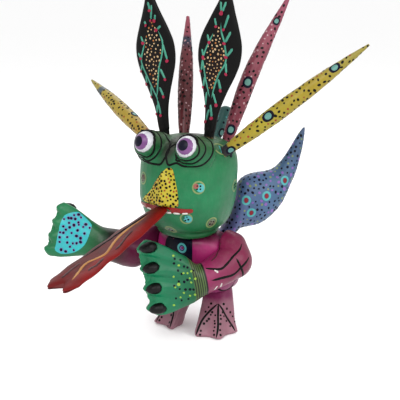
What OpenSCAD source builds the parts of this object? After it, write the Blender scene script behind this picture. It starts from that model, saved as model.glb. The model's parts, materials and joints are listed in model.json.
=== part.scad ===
// Carved and painted wooden creature with plugged-in ears, spines, tongue and tail.
// The front of the creature faces -Y, its left side is +X, and it stands on Z = 0.

/* [Torso] */
// Height of the torso block
torso_h = 56; // [46:1:68]
// Width of the torso
torso_w = 75; // [62:1:90]
// Depth of the torso, front to back
torso_d = 60; // [50:1:72]

/* [Head] */
// Height of the head block
head_h = 89; // [74:1:107]
// Width of the head
head_w = 85; // [78:1:102]
// Depth of the head
head_d = 82; // [76:1:99]
// Diameter of the eyeball
eye_d = 20; // [17:0.5:23]
// Distance between the eye centres
eye_gap = 43; // [39:1:48]
// Width of the foot of the nose
nose_w = 35; // [28:1:42]

/* [Legs] */
// Height of a leg, ground to torso
leg_h = 38; // [32:1:46]
// Distance between the heels
heel_gap = 29; // [26:1:34]
// Width of a foot across its toes
foot_w = 37; // [31:1:42]

/* [Arms] */
// Thickness of an arm at the elbow
elbow_d = 33; // [28:1:36]
// Spread of the left hand
hand_w = 72; // [60:1:84]
// Spread of the right hand
far_hand_w = 54; // [46:1:62]
// Thickness of a hand
hand_t = 13; // [11:0.5:15]
// Length of a claw
claw_l = 16; // [13:0.5:19]

/* [Plugged pieces] */
// Height of an ear above the head
ear_l = 136; // [110:1:160]
// Width of an ear
ear_w = 43; // [36:1:50]
// Thickness of an ear
ear_t = 6; // [5:0.5:8]
// Length of the left yellow spine
yellow_l = 149; // [120:1:175]
// Length of the right yellow spine
far_yellow_l = 125; // [102:1:148]
// Length of the left pink spine
pink_l = 149; // [120:1:175]
// Length of the right pink spine
far_pink_l = 130; // [105:1:152]
// Thickness of a spine at its widest
spine_d = 14.6; // [12:0.2:17]
// Length of the blunt back spine
back_spine_l = 39; // [33:1:47]
// Length of the tongue outside the mouth
tongue_l = 138; // [112:1:160]
// Width of the tongue
tongue_w = 29; // [24:1:34]
// Reach of the tail from the torso
tail_l = 89; // [74:1:107]
// Thickness of the tail
tail_t = 31; // [24:1:36]

/* [Pegs] */
// Diameter of the tenons of the spines and ears
tenon_d = 9; // [7:0.1:11]
// Length of the tenons of the spines and ears
tenon_l = 17; // [14:0.5:20]
// Diameter of the tongue tenon
tongue_tenon_d = 6; // [5:0.5:7]
// Diameter of the tail tenon
tail_tenon_d = 12; // [10:0.5:14]
// Diameter of the glued limb pegs
peg_d = 8; // [6:0.1:10]
// Length of the glued limb pegs
peg_l = 24; // [18:0.5:29]
// Diameter of the neck dowel
dowel_d = 12; // [10:0.5:16]
// Length of the neck dowel
dowel_l = 36; // [28:1:42]
// Running clearance of a pull-out tenon, on radius
slip = 0.05; // [0.02:0.01:0.1]

/* [Hidden] */

sides = 40;

// heights that stack up from the ground
neck_z = leg_h + torso_h;
crown_z = neck_z + head_h;

// the hips stand a little to the left of the head
hip = [3.5, 17, leg_h];
foot_turn = 45;
leg_back = -8;
shoulder_x = 0.44 * torso_w;
shoulder_y = 12;
shoulder_z = neck_z - 9;
shoulder_r = 13;

// [height, half width, half depth, set-back] of the head; all but the last are shares of its size
head_steps = [
    [0, 0.52, 0.5, 0], [0.02, 0.61, 0.59, 0], [0.05, 0.645, 0.625, 0], [0.075, 0.635, 0.61, 0],
    [0.1, 0.73, 0.7, 0], [0.14, 0.81, 0.79, 0], [0.21, 0.885, 0.88, 0], [0.3, 0.94, 0.95, 0],
    [0.42, 0.985, 1, 0], [0.65, 1, 0.985, 1.5], [0.78, 0.98, 0.96, 2.5], [0.87, 0.91, 0.88, 2.5],
    [0.93, 0.78, 0.75, 2.5], [0.97, 0.59, 0.56, 2.5], [0.99, 0.38, 0.35, 2.5], [1, 0.15, 0.12, 2.5]];
head_power = 2.3;

// [height, centre x, centre y, half width, half depth] of the torso, the last two as shares
torso_steps = [
    [0, 3.5, 19, 0.70, 0.72], [0.07, 3.4, 19, 0.88, 0.92], [0.2, 3, 18, 0.97, 1],
    [0.45, 2.5, 15, 1, 1], [0.7, 1.5, 11, 0.98, 0.95], [0.88, 0.7, 8, 0.9, 0.86],
    [0.96, 0.2, 6.5, 0.8, 0.77], [1, 0, 6, 0.66, 0.66]];
torso_power = 2.2;

// eye mounds
eye_y = -0.405 * head_d;
eye_z = crown_z - 3.5;
mound_l = 22;
mound_r = 17.5;
mound_rim = 0.6;
mound_lap = 3.5;
mound_dip = 30;

// nose wedge
nose_foot_z = neck_z + 35;
nose_h = 29;
nose_out = 4.5;
nose_lift = 1.2;

// mouth, where the tongue leaves the head
mouth_z = neck_z + 31.5;
mouth_y = -0.5 * head_d;
tongue_drop = 12;
tongue_tenon_l = 16;

// where the plugged pieces cross the skin of the head, and the way they point
ear_seat = [0.193 * head_w, 0.1 * head_d, crown_z - 2];
ear_aim = [0.143, 0, 1];
far_ear_seat = [-0.362 * head_w, 0.11 * head_d, crown_z - 5];
far_ear_aim = [-0.12, 0, 1];
yellow_seat = [0.43 * head_w, 0, crown_z - 11.5];
yellow_aim = [106, 50, 91.5];
far_yellow_seat = [-0.41 * head_w, -0.06 * head_d, crown_z - 8];
far_yellow_aim = [-106, 46, 44];
pink_seat = [0.26 * head_w, 0.33 * head_d, crown_z - 11];
pink_aim = [32, 60.5, 133];
far_pink_seat = [-0.26 * head_w, 0.33 * head_d, crown_z - 11];
far_pink_aim = [-34, 60.5, 110];
back_seat = [0.05 * head_w, 0.435 * head_d, crown_z - 14];
back_aim = [2, 25, 33];
neck_l = 5;

// tail, in a standing plane turned to the left; rows are upper edge, lower edge, half thickness
tail_turn = 38;
tail_seat = [9, 7 + torso_d / 2, neck_z - 13];
tail_tenon_l = 18;
tail_root_r = 7.5;
tail_rows = [
    [[0, 7.5], [0, -7.5], 0.48], [[4, 8], [4, -7.5], 0.5], [[8, 14], [10, -5], 0.6], [[14, 28], [16, 1], 0.76],
    [[19, 45], [22, 6], 0.87], [[25, 55], [31, 7.5], 0.97], [[35, 59], [43, 9], 1],
    [[48, 60], [55, 15.5], 0.95], [[57.4, 61.5], [67, 28], 0.84], [[64, 65], [76, 45], 0.66],
    [[71, 73], [83, 60], 0.5], [[78.5, 84], [88, 77.5], 0.34], [[85.5, 95], [90.6, 91.5], 0.2],
    [[90.4, 100.5], [91.6, 99], 0.06]];
tail_reach = 91.6;

// arms: joints of each arm, and the way the flat of the hand faces
elbow_left = [shoulder_x + 12, shoulder_y - 7, shoulder_z - 11.5];
wrist_left = [shoulder_x - 3, 3 - torso_d / 2, shoulder_z - 23];
tip_left = [shoulder_x - 43, -23 - torso_d / 2, shoulder_z - 21];
face_left = [0.53, -0.84, 0.1];
elbow_right = [-shoulder_x - 16, shoulder_y - 32, shoulder_z - 11];
wrist_right = [-shoulder_x - 35, shoulder_y - 54, shoulder_z - 1];
tip_right = [-shoulder_x - 72, shoulder_y - 77, shoulder_z + 12.7];
face_right = [0.53, -0.84, 0.1];
claw_r = 5;

// how far the fingers of each hand reach past their webs, and how deep the webs are hollowed
reach_left = 9;
reach_right = 5.5;
hollow_left = 0.3;
hollow_right = 0.12;

// the creature is centred over the origin by the tips of its tongue and tail
front_y = mouth_y - tongue_l * cos(tongue_drop);
back_y = tail_seat[1] + tail_l * cos(tail_turn);
centre = [0, -(front_y + back_y) / 2, 0];

// curves and frames
function unit(v) = v / norm(v);
function curve(a, b, c, d, t) = 0.5 * (2 * b + (c - a) * t
    + (2 * a - 5 * b + 4 * c - d) * t * t + (3 * b - a - 3 * c + d) * t * t * t);
function smooth(rows, n) = [
    for (i = [0:len(rows) - 2], k = [0:n - 1])
        curve(rows[max(i - 1, 0)], rows[i], rows[i + 1], rows[min(i + 2, len(rows) - 1)], k / n),
    rows[len(rows) - 1]];
function power_r(a, n) = pow(pow(abs(cos(a)), n) + pow(abs(sin(a)), n), -1 / n);
function oval(z, x, y, half_w, half_d, n) = [
    for (i = [0:sides - 1]) let(a = 360 * i / sides, r = power_r(a, n))
        [x + half_w * r * cos(a), y + half_d * r * sin(a), z]];

// a skin over a list of rings that all have the same number of points
module skin(rings) {
    n = len(rings[0]);
    last = len(rings) - 1;
    polyhedron(
        points = [for (ring = rings, p = ring) p],
        faces = concat(
            [[for (i = [0:n - 1]) i]],
            [for (k = [0:last - 1], i = [0:n - 1]) let(j = (i + 1) % n)
                each [[k * n + i, (k + 1) * n + j, k * n + j],
                    [k * n + i, (k + 1) * n + i, (k + 1) * n + j]]],
            [[for (i = [n - 1:-1:0]) last * n + i]]));
}

// puts a child's Z axis along a direction from a point
module aimed(point, aim) {
    translate(point)
    rotate([0, acos(unit(aim)[2]), atan2(aim[1], aim[0])])
        children();
}

// turned spine: cylinder tenon below z = 0, then a slim neck and a long taper
module spine(length, steps, tip_r) {
    body = smooth(concat([[tenon_d / 2, neck_l]],
        [for (s = steps) [s[0] * spine_d / 2, neck_l + s[1] * (length - neck_l)]],
        [[tip_r, length]]), 4);
    rotate_extrude($fn = 48)
        polygon(concat([[0, -tenon_l], [tenon_d / 2, -tenon_l]], body, [[0, length]]));
}

module socket(point, aim, d, depth) {
    aimed(point, aim)
    translate([0, 0, -depth])
        cylinder(h = depth + 30, d = d + 2 * slip, $fn = 48);
}

long_taper = [[0.84, 0.13], [1, 0.36], [0.86, 0.62], [0.5, 0.84]];
blunt_taper = [[0.74, 0.4], [0.86, 0.75], [0.9, 0.92]];

// how far a point across a paddle lies between two fingers: 0 on a finger, 1 in a web
function web(u, fingers) = (1 + cos(180 * fingers * (u + 1))) / 2;

// one ring of a paddle: row is [x, y, z, half width, half thickness, finger share]
function paddle_ring(row, along, face, fingers, reach, hollow) =
    let(n = sides / 2,
        across = unit(cross(along, face)),
        out = cross(across, along),
        share = row[5])
    [for (i = [0:sides - 1])
        let(v = i < n ? -1 + 2 * (i + 0.5) / n : 1 - 2 * (i - n + 0.5) / n,
            u = (1 - share) * sin(90 * v) + share * v,
            side = i < n ? 1 : -1,
            rim = sqrt(max(1 - pow(abs(u), 2 + 2 * share), 0.02)),
            gap = web(u, fingers))
        [row[0], row[1], row[2]]
            + across * row[3] * u
            + out * side * row[4] * rim * (1 - hollow * share * gap)
            + along * share * reach * (0.5 - gap)];

module paddle(rows, along, face, fingers, reach, hollow) {
    skin([for (row = rows) paddle_ring(row, along, face, fingers, reach, hollow)]);
}

// forearm and webbed hand in one sweep from the elbow to the finger tips
module forearm(elbow, wrist, tip, face, spread, reach, hollow) {
    along = unit(tip - elbow);
    r = elbow_d / 2;
    rows = smooth([
        for (s = [[-0.42, 0.35, 0.35, 0], [-0.3, 0.72, 0.72, 0], [0, 1, 1, 0], [0.5, 0.94, 0.92, 0]])
            let(p = elbow + (wrist - elbow) * s[0]) [p[0], p[1], p[2], r * s[1], r * s[2], s[3]],
        for (s = [[0, 0.86 * r, 0.8 * r, 0], [0.2, 0.29 * spread, 0.78 * hand_t, 0.1],
                [0.45, 0.37 * spread, 0.56 * hand_t, 0.35], [0.7, 0.45 * spread, 0.5 * hand_t, 0.7],
                [0.88, 0.49 * spread, 0.46 * hand_t, 0.95], [0.97, 0.5 * spread, 0.32 * hand_t, 1],
                [1, 0.49 * spread, 0.1 * hand_t, 1]])
            let(p = wrist + (tip - wrist) * s[0]) [p[0], p[1], p[2], s[1], s[2], s[3]]], 3);
    paddle(rows, along, face, 4, reach, hollow);
}

module upper_arm(side, elbow) {
    hull() {
        translate([side * shoulder_x, shoulder_y, shoulder_z])
        rotate([0, side * 90, 0])
            cylinder(h = 1, r = shoulder_r, $fn = 32);
        translate([side * (shoulder_x + 7), shoulder_y - 1, shoulder_z - 1])
            sphere(r = shoulder_r, $fn = 28);
        translate(elbow)
            sphere(d = elbow_d, $fn = 28);
    }
}

// the four claws of a hand lie half sunk in the back of its fingers
module claw_set(elbow, tip, face, spread, back, inset) {
    along = unit(tip - elbow);
    across = unit(cross(along, face));
    out = cross(across, along);
    for (u = [-0.78, -0.26, 0.26, 0.78])
        aimed(tip + across * spread * 0.49 * u + along * (2.5 - inset - claw_l * 0.55)
                + out * back * 0.37 * hand_t, along)
            rotate_extrude($fn = 32)
                polygon([[0, -0.45 * claw_l], [0.55 * claw_r, -0.4 * claw_l], [0.93 * claw_r, -0.22 * claw_l],
                    [claw_r, 0], [0.86 * claw_r, 0.22 * claw_l], [0.55 * claw_r, 0.42 * claw_l],
                    [0, 0.55 * claw_l]]);
}

module arm_peg(side) {
    color("burlywood")
    translate([side * (shoulder_x - peg_l / 2), shoulder_y, shoulder_z])
    rotate([0, side * 90, 0])
        cylinder(h = peg_l, d = peg_d, $fn = 40);
}

// webbed foot and leg: each level is an oval with three toe lobes that fade upwards
toe_turns = [-74, 0, 74];
function toes(a) = max([for (t = toe_turns) exp(-pow((a - t) / 17, 2))]);
function leg_level(z, forward, half_l, half_w, lobe, lean, side) =
    let(heel = [hip[0] + side * heel_gap / 2, hip[1] - 5],
        turn = side > 0 ? -foot_turn : foot_turn - 180)
    [for (i = [0:sides - 1])
        let(a = -180 + 360 * i / sides, r = 1 + lobe * (toes(a) - 0.35),
            x = forward + half_l * r * cos(a), y = side * lean + half_w * r * sin(a))
        [heel[0] + x * cos(turn) - y * sin(turn), heel[1] + x * sin(turn) + y * cos(turn), z]];
leg_lean = 7.5;
leg_steps = [
    [0, 13, 11.8, 0.415, 0.4, 0], [0.05, 14, 13.4, 0.45, 0.42, 0], [0.13, 12.6, 12.9, 0.45, 0.4, 0],
    [0.3, 9.8, 11.8, 0.425, 0.3, 0.15], [0.55, 4.8, 12, 0.41, 0.16, 0.45], [0.8, -1.5, 12.5, 0.385, 0.05, 0.8],
    [1, leg_back, 12.5, 0.37, 0, 1]];

module leg(side) {
    skin([for (s = smooth(leg_steps, 3))
        leg_level(s[0] * leg_h, s[1], s[2], s[3] * foot_w, s[4], s[5] * leg_lean, side)]);
}

module leg_peg(side) {
    color("burlywood")
    translate([hip[0] + side * (heel_gap / 2 + (leg_back + leg_lean) * sin(foot_turn)),
        hip[1] - 5 + (leg_lean - leg_back) * cos(foot_turn), leg_h - peg_l / 2])
        cylinder(h = peg_l, d = peg_d, $fn = 40);
}

module neck_dowel() {
    color("burlywood")
    translate([0, 3, neck_z - dowel_l / 2])
        cylinder(h = dowel_l, d = dowel_d, $fn = 48);
}

// the torso without its holes, which the arms are also trimmed to
module torso_block() {
    skin([for (s = smooth(torso_steps, 3))
        oval(leg_h + s[0] * torso_h, s[1], s[2], s[3] * torso_w / 2, s[4] * torso_d / 2, torso_power)]);
}

module torso() {
    color("mediumvioletred")
    difference() {
        torso_block();
        for (side = [-1, 1]) {
            arm_peg(side);
            leg_peg(side);
        }
        neck_dowel();
        tail_axis() {
            cylinder(h = 20, r = tail_root_r + 1, $fn = 48);
            translate([0, 0, -tail_tenon_l])
                cylinder(h = tail_tenon_l + 1, d = tail_tenon_d + 2 * slip, $fn = 48);
        }
    }
}

module eyeball(side) {
    translate([side * eye_gap / 2, eye_y, eye_z])
        sphere(d = eye_d, $fn = 48);
}

module eye_mound(side) {
    translate([side * eye_gap / 2, eye_y, eye_z])
    rotate([-90 - mound_dip, 0, 0])
    translate([0, 0, -mound_lap])
        cylinder(h = mound_l, r1 = eye_d / 2 + mound_rim, r2 = mound_r, $fn = 48);
}

// raised wedge of the nose, widest and proudest at its foot
module nose() {
    front = -head_d / 2 - nose_lift;
    polyhedron(
        points = [[0, front + 1.5, nose_foot_z + nose_h], [-nose_w / 2, front + 3, nose_foot_z + 1.5],
            [0, front - nose_out, nose_foot_z], [nose_w / 2, front + 3, nose_foot_z + 1.5],
            [0, front + 8, nose_foot_z + nose_h + 1], [-nose_w / 2 - 1, front + 10, nose_foot_z + 1.5],
            [0, front + 8, nose_foot_z], [nose_w / 2 + 1, front + 10, nose_foot_z + 1.5]],
        faces = [[0, 2, 1], [0, 3, 2], [0, 1, 5], [0, 5, 4], [0, 4, 7], [0, 7, 3],
            [1, 2, 6], [1, 6, 5], [2, 3, 7], [2, 7, 6], [4, 5, 6], [4, 6, 7]]);
}

module head() {
    color("seagreen")
    difference() {
        union() {
            skin([for (s = smooth(head_steps, 2))
                oval(neck_z + s[0] * head_h, 0, s[3], s[1] * head_w / 2, s[2] * head_d / 2, head_power)]);
            eye_mound(-1);
            eye_mound(1);
            nose();
        }
        eyeball(-1);
        eyeball(1);
        neck_dowel();
        socket(ear_seat, ear_aim, tenon_d, tenon_l);
        socket(far_ear_seat, far_ear_aim, tenon_d, tenon_l);
        socket(yellow_seat, yellow_aim, tenon_d, tenon_l);
        socket(far_yellow_seat, far_yellow_aim, tenon_d, tenon_l);
        socket(pink_seat, pink_aim, tenon_d, tenon_l);
        socket(far_pink_seat, far_pink_aim, tenon_d, tenon_l);
        socket(back_seat, back_aim, tenon_d, tenon_l);
        tongue_axis()
        translate([0, 0, -tongue_tenon_l])
            cylinder(h = tongue_tenon_l + 20, d = tongue_tenon_d + 2 * slip, $fn = 40);
    }
}

module eye_left() {
    color("white")
        eyeball(1);
}

module eye_right() {
    color("white")
        eyeball(-1);
}

module arm_left() {
    color("mediumseagreen")
    difference() {
        union() {
            upper_arm(1, elbow_left);
            forearm(elbow_left, wrist_left, tip_left, face_left, hand_w, reach_left, hollow_left);
        }
        torso_block();
        arm_peg(1);
        claw_set(elbow_left, tip_left, face_left, hand_w, 1, 0);
    }
}

module arm_right() {
    color("mediumseagreen")
    difference() {
        union() {
            upper_arm(-1, elbow_right);
            forearm(elbow_right, wrist_right, tip_right, face_right, far_hand_w, reach_right, hollow_right);
        }
        torso_block();
        arm_peg(-1);
        claw_set(elbow_right, tip_right, face_right, far_hand_w, -1, 3);
    }
}

module claws_left() {
    color("black")
        claw_set(elbow_left, tip_left, face_left, hand_w, 1, 0);
}

module claws_right() {
    color("black")
        claw_set(elbow_right, tip_right, face_right, far_hand_w, -1, 3);
}

module leg_left() {
    color("rosybrown")
    difference() {
        leg(1);
        leg_peg(1);
    }
}

module leg_right() {
    color("rosybrown")
    difference() {
        leg(-1);
        leg_peg(-1);
    }
}

module tail_axis() {
    aimed(tail_seat, [sin(tail_turn), cos(tail_turn), 0])
        children();
}

// a row of the tail becomes an oval standing between its upper and lower edge
function tail_ring(row) =
    let(way = [sin(tail_turn), cos(tail_turn), 0],
        flat = [cos(tail_turn), -sin(tail_turn), 0],
        top = tail_seat + way * row[0] * tail_l / tail_reach + [0, 0, row[1]],
        low = tail_seat + way * row[2] * tail_l / tail_reach + [0, 0, row[3]])
    [for (i = [0:sides - 1]) let(a = 360 * i / sides)
        (top + low) / 2 + (top - low) / 2 * cos(a) + flat * row[4] * tail_t / 2 * sin(a)];

module tail() {
    color("cornflowerblue") {
        skin([for (row = smooth([for (r = tail_rows) [r[0][0], r[0][1], r[1][0], r[1][1], r[2]]], 2))
            tail_ring(row)]);
        tail_axis()
        translate([0, 0, -tail_tenon_l])
            cylinder(h = tail_tenon_l + 8, d = tail_tenon_d, $fn = 48);
    }
}

module tongue_axis() {
    aimed([0, mouth_y, mouth_z], [0, -cos(tongue_drop), -sin(tongue_drop)])
        children();
}

// flat forked tongue with waved edges
module tongue() {
    root = [0, mouth_y, mouth_z];
    way = [0, -cos(tongue_drop), -sin(tongue_drop)];
    fork = 5;
    rows = smooth([for (s = [[0.008, 0.22, 2.8, 0], [0.1, 0.3, 3, 0], [0.24, 0.36, 3, 0], [0.36, 0.43, 3, 0],
            [0.46, 0.40, 3, 0], [0.58, 0.47, 2.8, 0], [0.68, 0.43, 2.8, 0.1], [0.8, 0.5, 2.7, 0.4],
            [0.9, 0.47, 2.6, 0.8], [0.965, 0.5, 2, 1], [0.985, 0.5, 0.6, 1]])
        let(p = root + way * s[0] * (tongue_l - fork / 2)) [0, p[1], p[2], s[1] * tongue_w, s[2], s[3]]], 3);
    color("firebrick") {
        paddle(rows, way, [0, -sin(tongue_drop), cos(tongue_drop)], 2, 2 * fork, 0.4);
        tongue_axis()
        translate([0, 0, -tongue_tenon_l])
            cylinder(h = tongue_tenon_l + 6, d = tongue_tenon_d, $fn = 40);
    }
}

// leaf-shaped ear: flat rings along its length, on a round tenon
ear_steps = [[0.01, 0.25, 0.66], [0.06, 0.27, 0.66], [0.16, 0.33, 0.62], [0.3, 0.6, 0.54],
    [0.42, 0.88, 0.5], [0.52, 1, 0.5], [0.62, 0.93, 0.5], [0.74, 0.63, 0.46],
    [0.87, 0.28, 0.4], [0.96, 0.11, 0.3], [1, 0.03, 0.12]];
module ear() {
    union() {
        translate([0, 0, -tenon_l])
            cylinder(h = tenon_l + neck_l + 4, d = tenon_d, $fn = 48);
        skin([for (s = smooth(ear_steps, 2))
            [for (i = [0:27]) let(a = 360 * i / 28)
                [s[1] * ear_w / 2 * cos(a), s[2] * ear_t * sin(a),
                    neck_l + s[0] * (ear_l - neck_l)]]]);
    }
}

module ear_left() {
    color("black")
    aimed(ear_seat, ear_aim)
        ear();
}

module ear_right() {
    color("black")
    aimed(far_ear_seat, far_ear_aim)
    rotate([0, 0, 180])
        ear();
}

module yellow_spine_left() {
    color("gold")
    aimed(yellow_seat, yellow_aim)
        spine(yellow_l, long_taper, 0.9);
}

module yellow_spine_right() {
    color("gold")
    aimed(far_yellow_seat, far_yellow_aim)
        spine(far_yellow_l, long_taper, 0.9);
}

module pink_spine_left() {
    color("palevioletred")
    aimed(pink_seat, pink_aim)
        spine(pink_l, long_taper, 0.9);
}

module pink_spine_right() {
    color("palevioletred")
    aimed(far_pink_seat, far_pink_aim)
        spine(far_pink_l, long_taper, 1.6);
}

module back_spine() {
    color("darkcyan")
    aimed(back_seat, back_aim)
        spine(back_spine_l, blunt_taper, 5);
}

translate(centre) {
    torso();
    head();
    neck_dowel();
    eye_left();
    eye_right();
    arm_left();
    arm_right();
    arm_peg(1);  // arm_peg_left
    arm_peg(-1);  // arm_peg_right
    claws_left();
    claws_right();
    leg_left();
    leg_right();
    leg_peg(1);  // leg_peg_left
    leg_peg(-1);  // leg_peg_right
    tail();
    tongue();
    ear_left();
    ear_right();
    yellow_spine_left();
    yellow_spine_right();
    pink_spine_left();
    pink_spine_right();
    back_spine();
}
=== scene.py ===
import bpy
import json
import math
import random
from mathutils import Vector, Matrix
from mathutils.bvhtree import BVHTree


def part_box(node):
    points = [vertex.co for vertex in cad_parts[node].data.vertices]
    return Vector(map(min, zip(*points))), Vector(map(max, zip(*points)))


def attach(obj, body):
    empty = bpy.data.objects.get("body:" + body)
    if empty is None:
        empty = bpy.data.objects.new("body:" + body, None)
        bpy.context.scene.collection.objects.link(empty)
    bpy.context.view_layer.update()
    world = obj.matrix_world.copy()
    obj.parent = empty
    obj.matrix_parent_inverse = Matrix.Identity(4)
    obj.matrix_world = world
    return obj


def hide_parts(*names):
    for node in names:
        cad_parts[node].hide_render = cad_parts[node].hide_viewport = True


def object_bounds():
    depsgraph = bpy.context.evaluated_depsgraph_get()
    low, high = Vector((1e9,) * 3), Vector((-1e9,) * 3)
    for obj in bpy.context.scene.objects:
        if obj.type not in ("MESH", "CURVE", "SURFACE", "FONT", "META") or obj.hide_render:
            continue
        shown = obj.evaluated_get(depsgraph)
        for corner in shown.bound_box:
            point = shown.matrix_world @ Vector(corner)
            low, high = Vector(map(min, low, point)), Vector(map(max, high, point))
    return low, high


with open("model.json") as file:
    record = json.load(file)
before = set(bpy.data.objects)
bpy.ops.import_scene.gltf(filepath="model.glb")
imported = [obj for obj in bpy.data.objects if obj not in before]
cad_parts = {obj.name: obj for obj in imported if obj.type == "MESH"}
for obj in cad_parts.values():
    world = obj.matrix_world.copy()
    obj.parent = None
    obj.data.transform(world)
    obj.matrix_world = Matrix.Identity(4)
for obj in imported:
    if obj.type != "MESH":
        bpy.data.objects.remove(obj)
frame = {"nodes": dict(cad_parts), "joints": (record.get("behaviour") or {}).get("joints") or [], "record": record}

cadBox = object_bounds()
chance = random.Random(11)
scene = bpy.context.scene

# camera and studio

headLow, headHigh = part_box("head")
headMid = (headLow + headHigh) / 2

viewSettings = {"turn": 32, "rise": 15, "distance": 0.68, "lens": 68.0,
                "aimSide": 0.009, "aimBack": 0.008, "aimUp": 0.030}


def addCamera():
    turn, rise = math.radians(viewSettings["turn"]), math.radians(viewSettings["rise"])
    aim = Vector((headMid.x + viewSettings["aimSide"], headMid.y + viewSettings["aimBack"],
                  headLow.z + viewSettings["aimUp"]))
    away = Vector((math.sin(turn) * math.cos(rise), -math.cos(turn) * math.cos(rise), math.sin(rise)))
    place = aim + away * viewSettings["distance"]
    bpy.ops.object.camera_add(location=place, rotation=(-away).to_track_quat("-Z", "Y").to_euler())
    camera = bpy.context.object
    camera.data.lens = viewSettings["lens"]
    scene.camera = camera


def deselect():
    if bpy.context.object and bpy.context.object.mode != "OBJECT":
        bpy.ops.object.mode_set(mode="OBJECT")
    bpy.ops.object.select_all(action="DESELECT")


def pickOnly(piece):
    deselect()
    piece.select_set(True)
    bpy.context.view_layer.objects.active = piece


studio = {"floorSize": 400.0, "floorTone": (0.97, 0.97, 0.97), "worldTone": (1.0, 1.0, 1.0),
          "worldLevel": 1.0}
lamps = [  # name, place, size, watts
    ("keyLamp", (0.35, -1.1, 1.15), 0.9, 14),
    ("sideLamp", (1.35, -0.25, 0.75), 0.9, 9),
    ("backLamp", (-0.7, 1.0, 1.3), 0.9, 6),
]


def addStudio():
    deselect()
    bpy.ops.mesh.primitive_plane_add(size=studio["floorSize"], location=(0, 0, cadBox[0].z))
    floor = bpy.context.object
    floor.name = "floor"
    bpy.ops.object.transform_apply(location=True)
    paper = bpy.data.materials.new("paper")
    paper.use_nodes = True
    skin = paper.node_tree.nodes["Principled BSDF"]
    skin.inputs["Base Color"].default_value = (*studio["floorTone"], 1)
    skin.inputs["Roughness"].default_value = 0.9
    floor.data.materials.append(paper)
    aim = Vector((0, 0, 0.14))
    for name, place, size, watts in lamps:
        bpy.ops.object.light_add(type="AREA", location=place,
                                 rotation=(aim - Vector(place)).to_track_quat("-Z", "Y").to_euler())
        lamp = bpy.context.object
        lamp.name = name
        lamp.data.size = size
        lamp.data.energy = watts
    world = bpy.data.worlds.new("studio")
    world.use_nodes = True
    world.node_tree.nodes["Background"].inputs["Color"].default_value = (*studio["worldTone"], 1)
    world.node_tree.nodes["Background"].inputs["Strength"].default_value = studio["worldLevel"]
    scene.world = world
    scene.view_settings.view_transform = "Standard"


addCamera()
addStudio()
print("camera and studio ready")

# shader groups


paintTone = {"depth": 0.57, "sheen": 0.031}  # paints are deeper than they look under bright studio light


def rgb(r, g, b):
    # 0-255 tones as they look when lit, to the linear colours of the nodes
    def flat(v):
        v = v / 255
        v = v / 12.92 if v <= 0.04045 else ((v + 0.055) / 1.055) ** 2.4
        return max(0.0015, v - paintTone["sheen"]) * paintTone["depth"]
    return (flat(r), flat(g), flat(b), 1)


def newGroup(name, inputs, outputs):
    group = bpy.data.node_groups.new(name, "ShaderNodeTree")
    for label, kind, value in inputs:
        socket = group.interface.new_socket(label, in_out="INPUT", socket_type=kind)
        if value is not None:
            socket.default_value = value
    for label, kind in outputs:
        group.interface.new_socket(label, in_out="OUTPUT", socket_type=kind)
    start = group.nodes.new("NodeGroupInput")
    end = group.nodes.new("NodeGroupOutput")
    return group, start, end


def mathNode(tree, operation, a, b=None, clamp=False):
    node = tree.nodes.new("ShaderNodeMath")
    node.operation = operation
    node.use_clamp = clamp
    for slot, value in enumerate((a, b)):
        if value is None:
            continue
        if isinstance(value, (int, float)):
            node.inputs[slot].default_value = value
        else:
            tree.links.new(value, node.inputs[slot])
    return node.outputs[0]


def mixNode(tree, share, a, b, blend="MIX"):
    node = tree.nodes.new("ShaderNodeMix")
    node.data_type = "RGBA"
    node.blend_type = blend
    ins = [s for s in node.inputs if s.enabled]
    for socket, value in zip(ins, (share, a, b)):
        if isinstance(value, (int, float, tuple)):
            socket.default_value = value
        else:
            tree.links.new(value, socket)
    return [s for s in node.outputs if s.enabled][0]


def noiseNode(tree, vector, scale, detail=3, rough=0.5):
    node = tree.nodes.new("ShaderNodeTexNoise")
    node.inputs["Detail"].default_value = detail
    node.inputs["Roughness"].default_value = rough
    if isinstance(scale, (int, float)):
        node.inputs["Scale"].default_value = scale
    else:
        tree.links.new(scale, node.inputs["Scale"])
    tree.links.new(vector, node.inputs["Vector"])
    return node.outputs[0]


def rangeNode(tree, value, low, high, toLow=0.0, toHigh=1.0, smooth=True):
    node = tree.nodes.new("ShaderNodeMapRange")
    node.interpolation_type = "SMOOTHSTEP" if smooth else "LINEAR"
    ins = [s for s in node.inputs if s.enabled]
    for socket, number in zip(ins[1:], (low, high, toLow, toHigh)):
        socket.default_value = number
    tree.links.new(value, ins[0])
    return [s for s in node.outputs if s.enabled][0]


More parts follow.
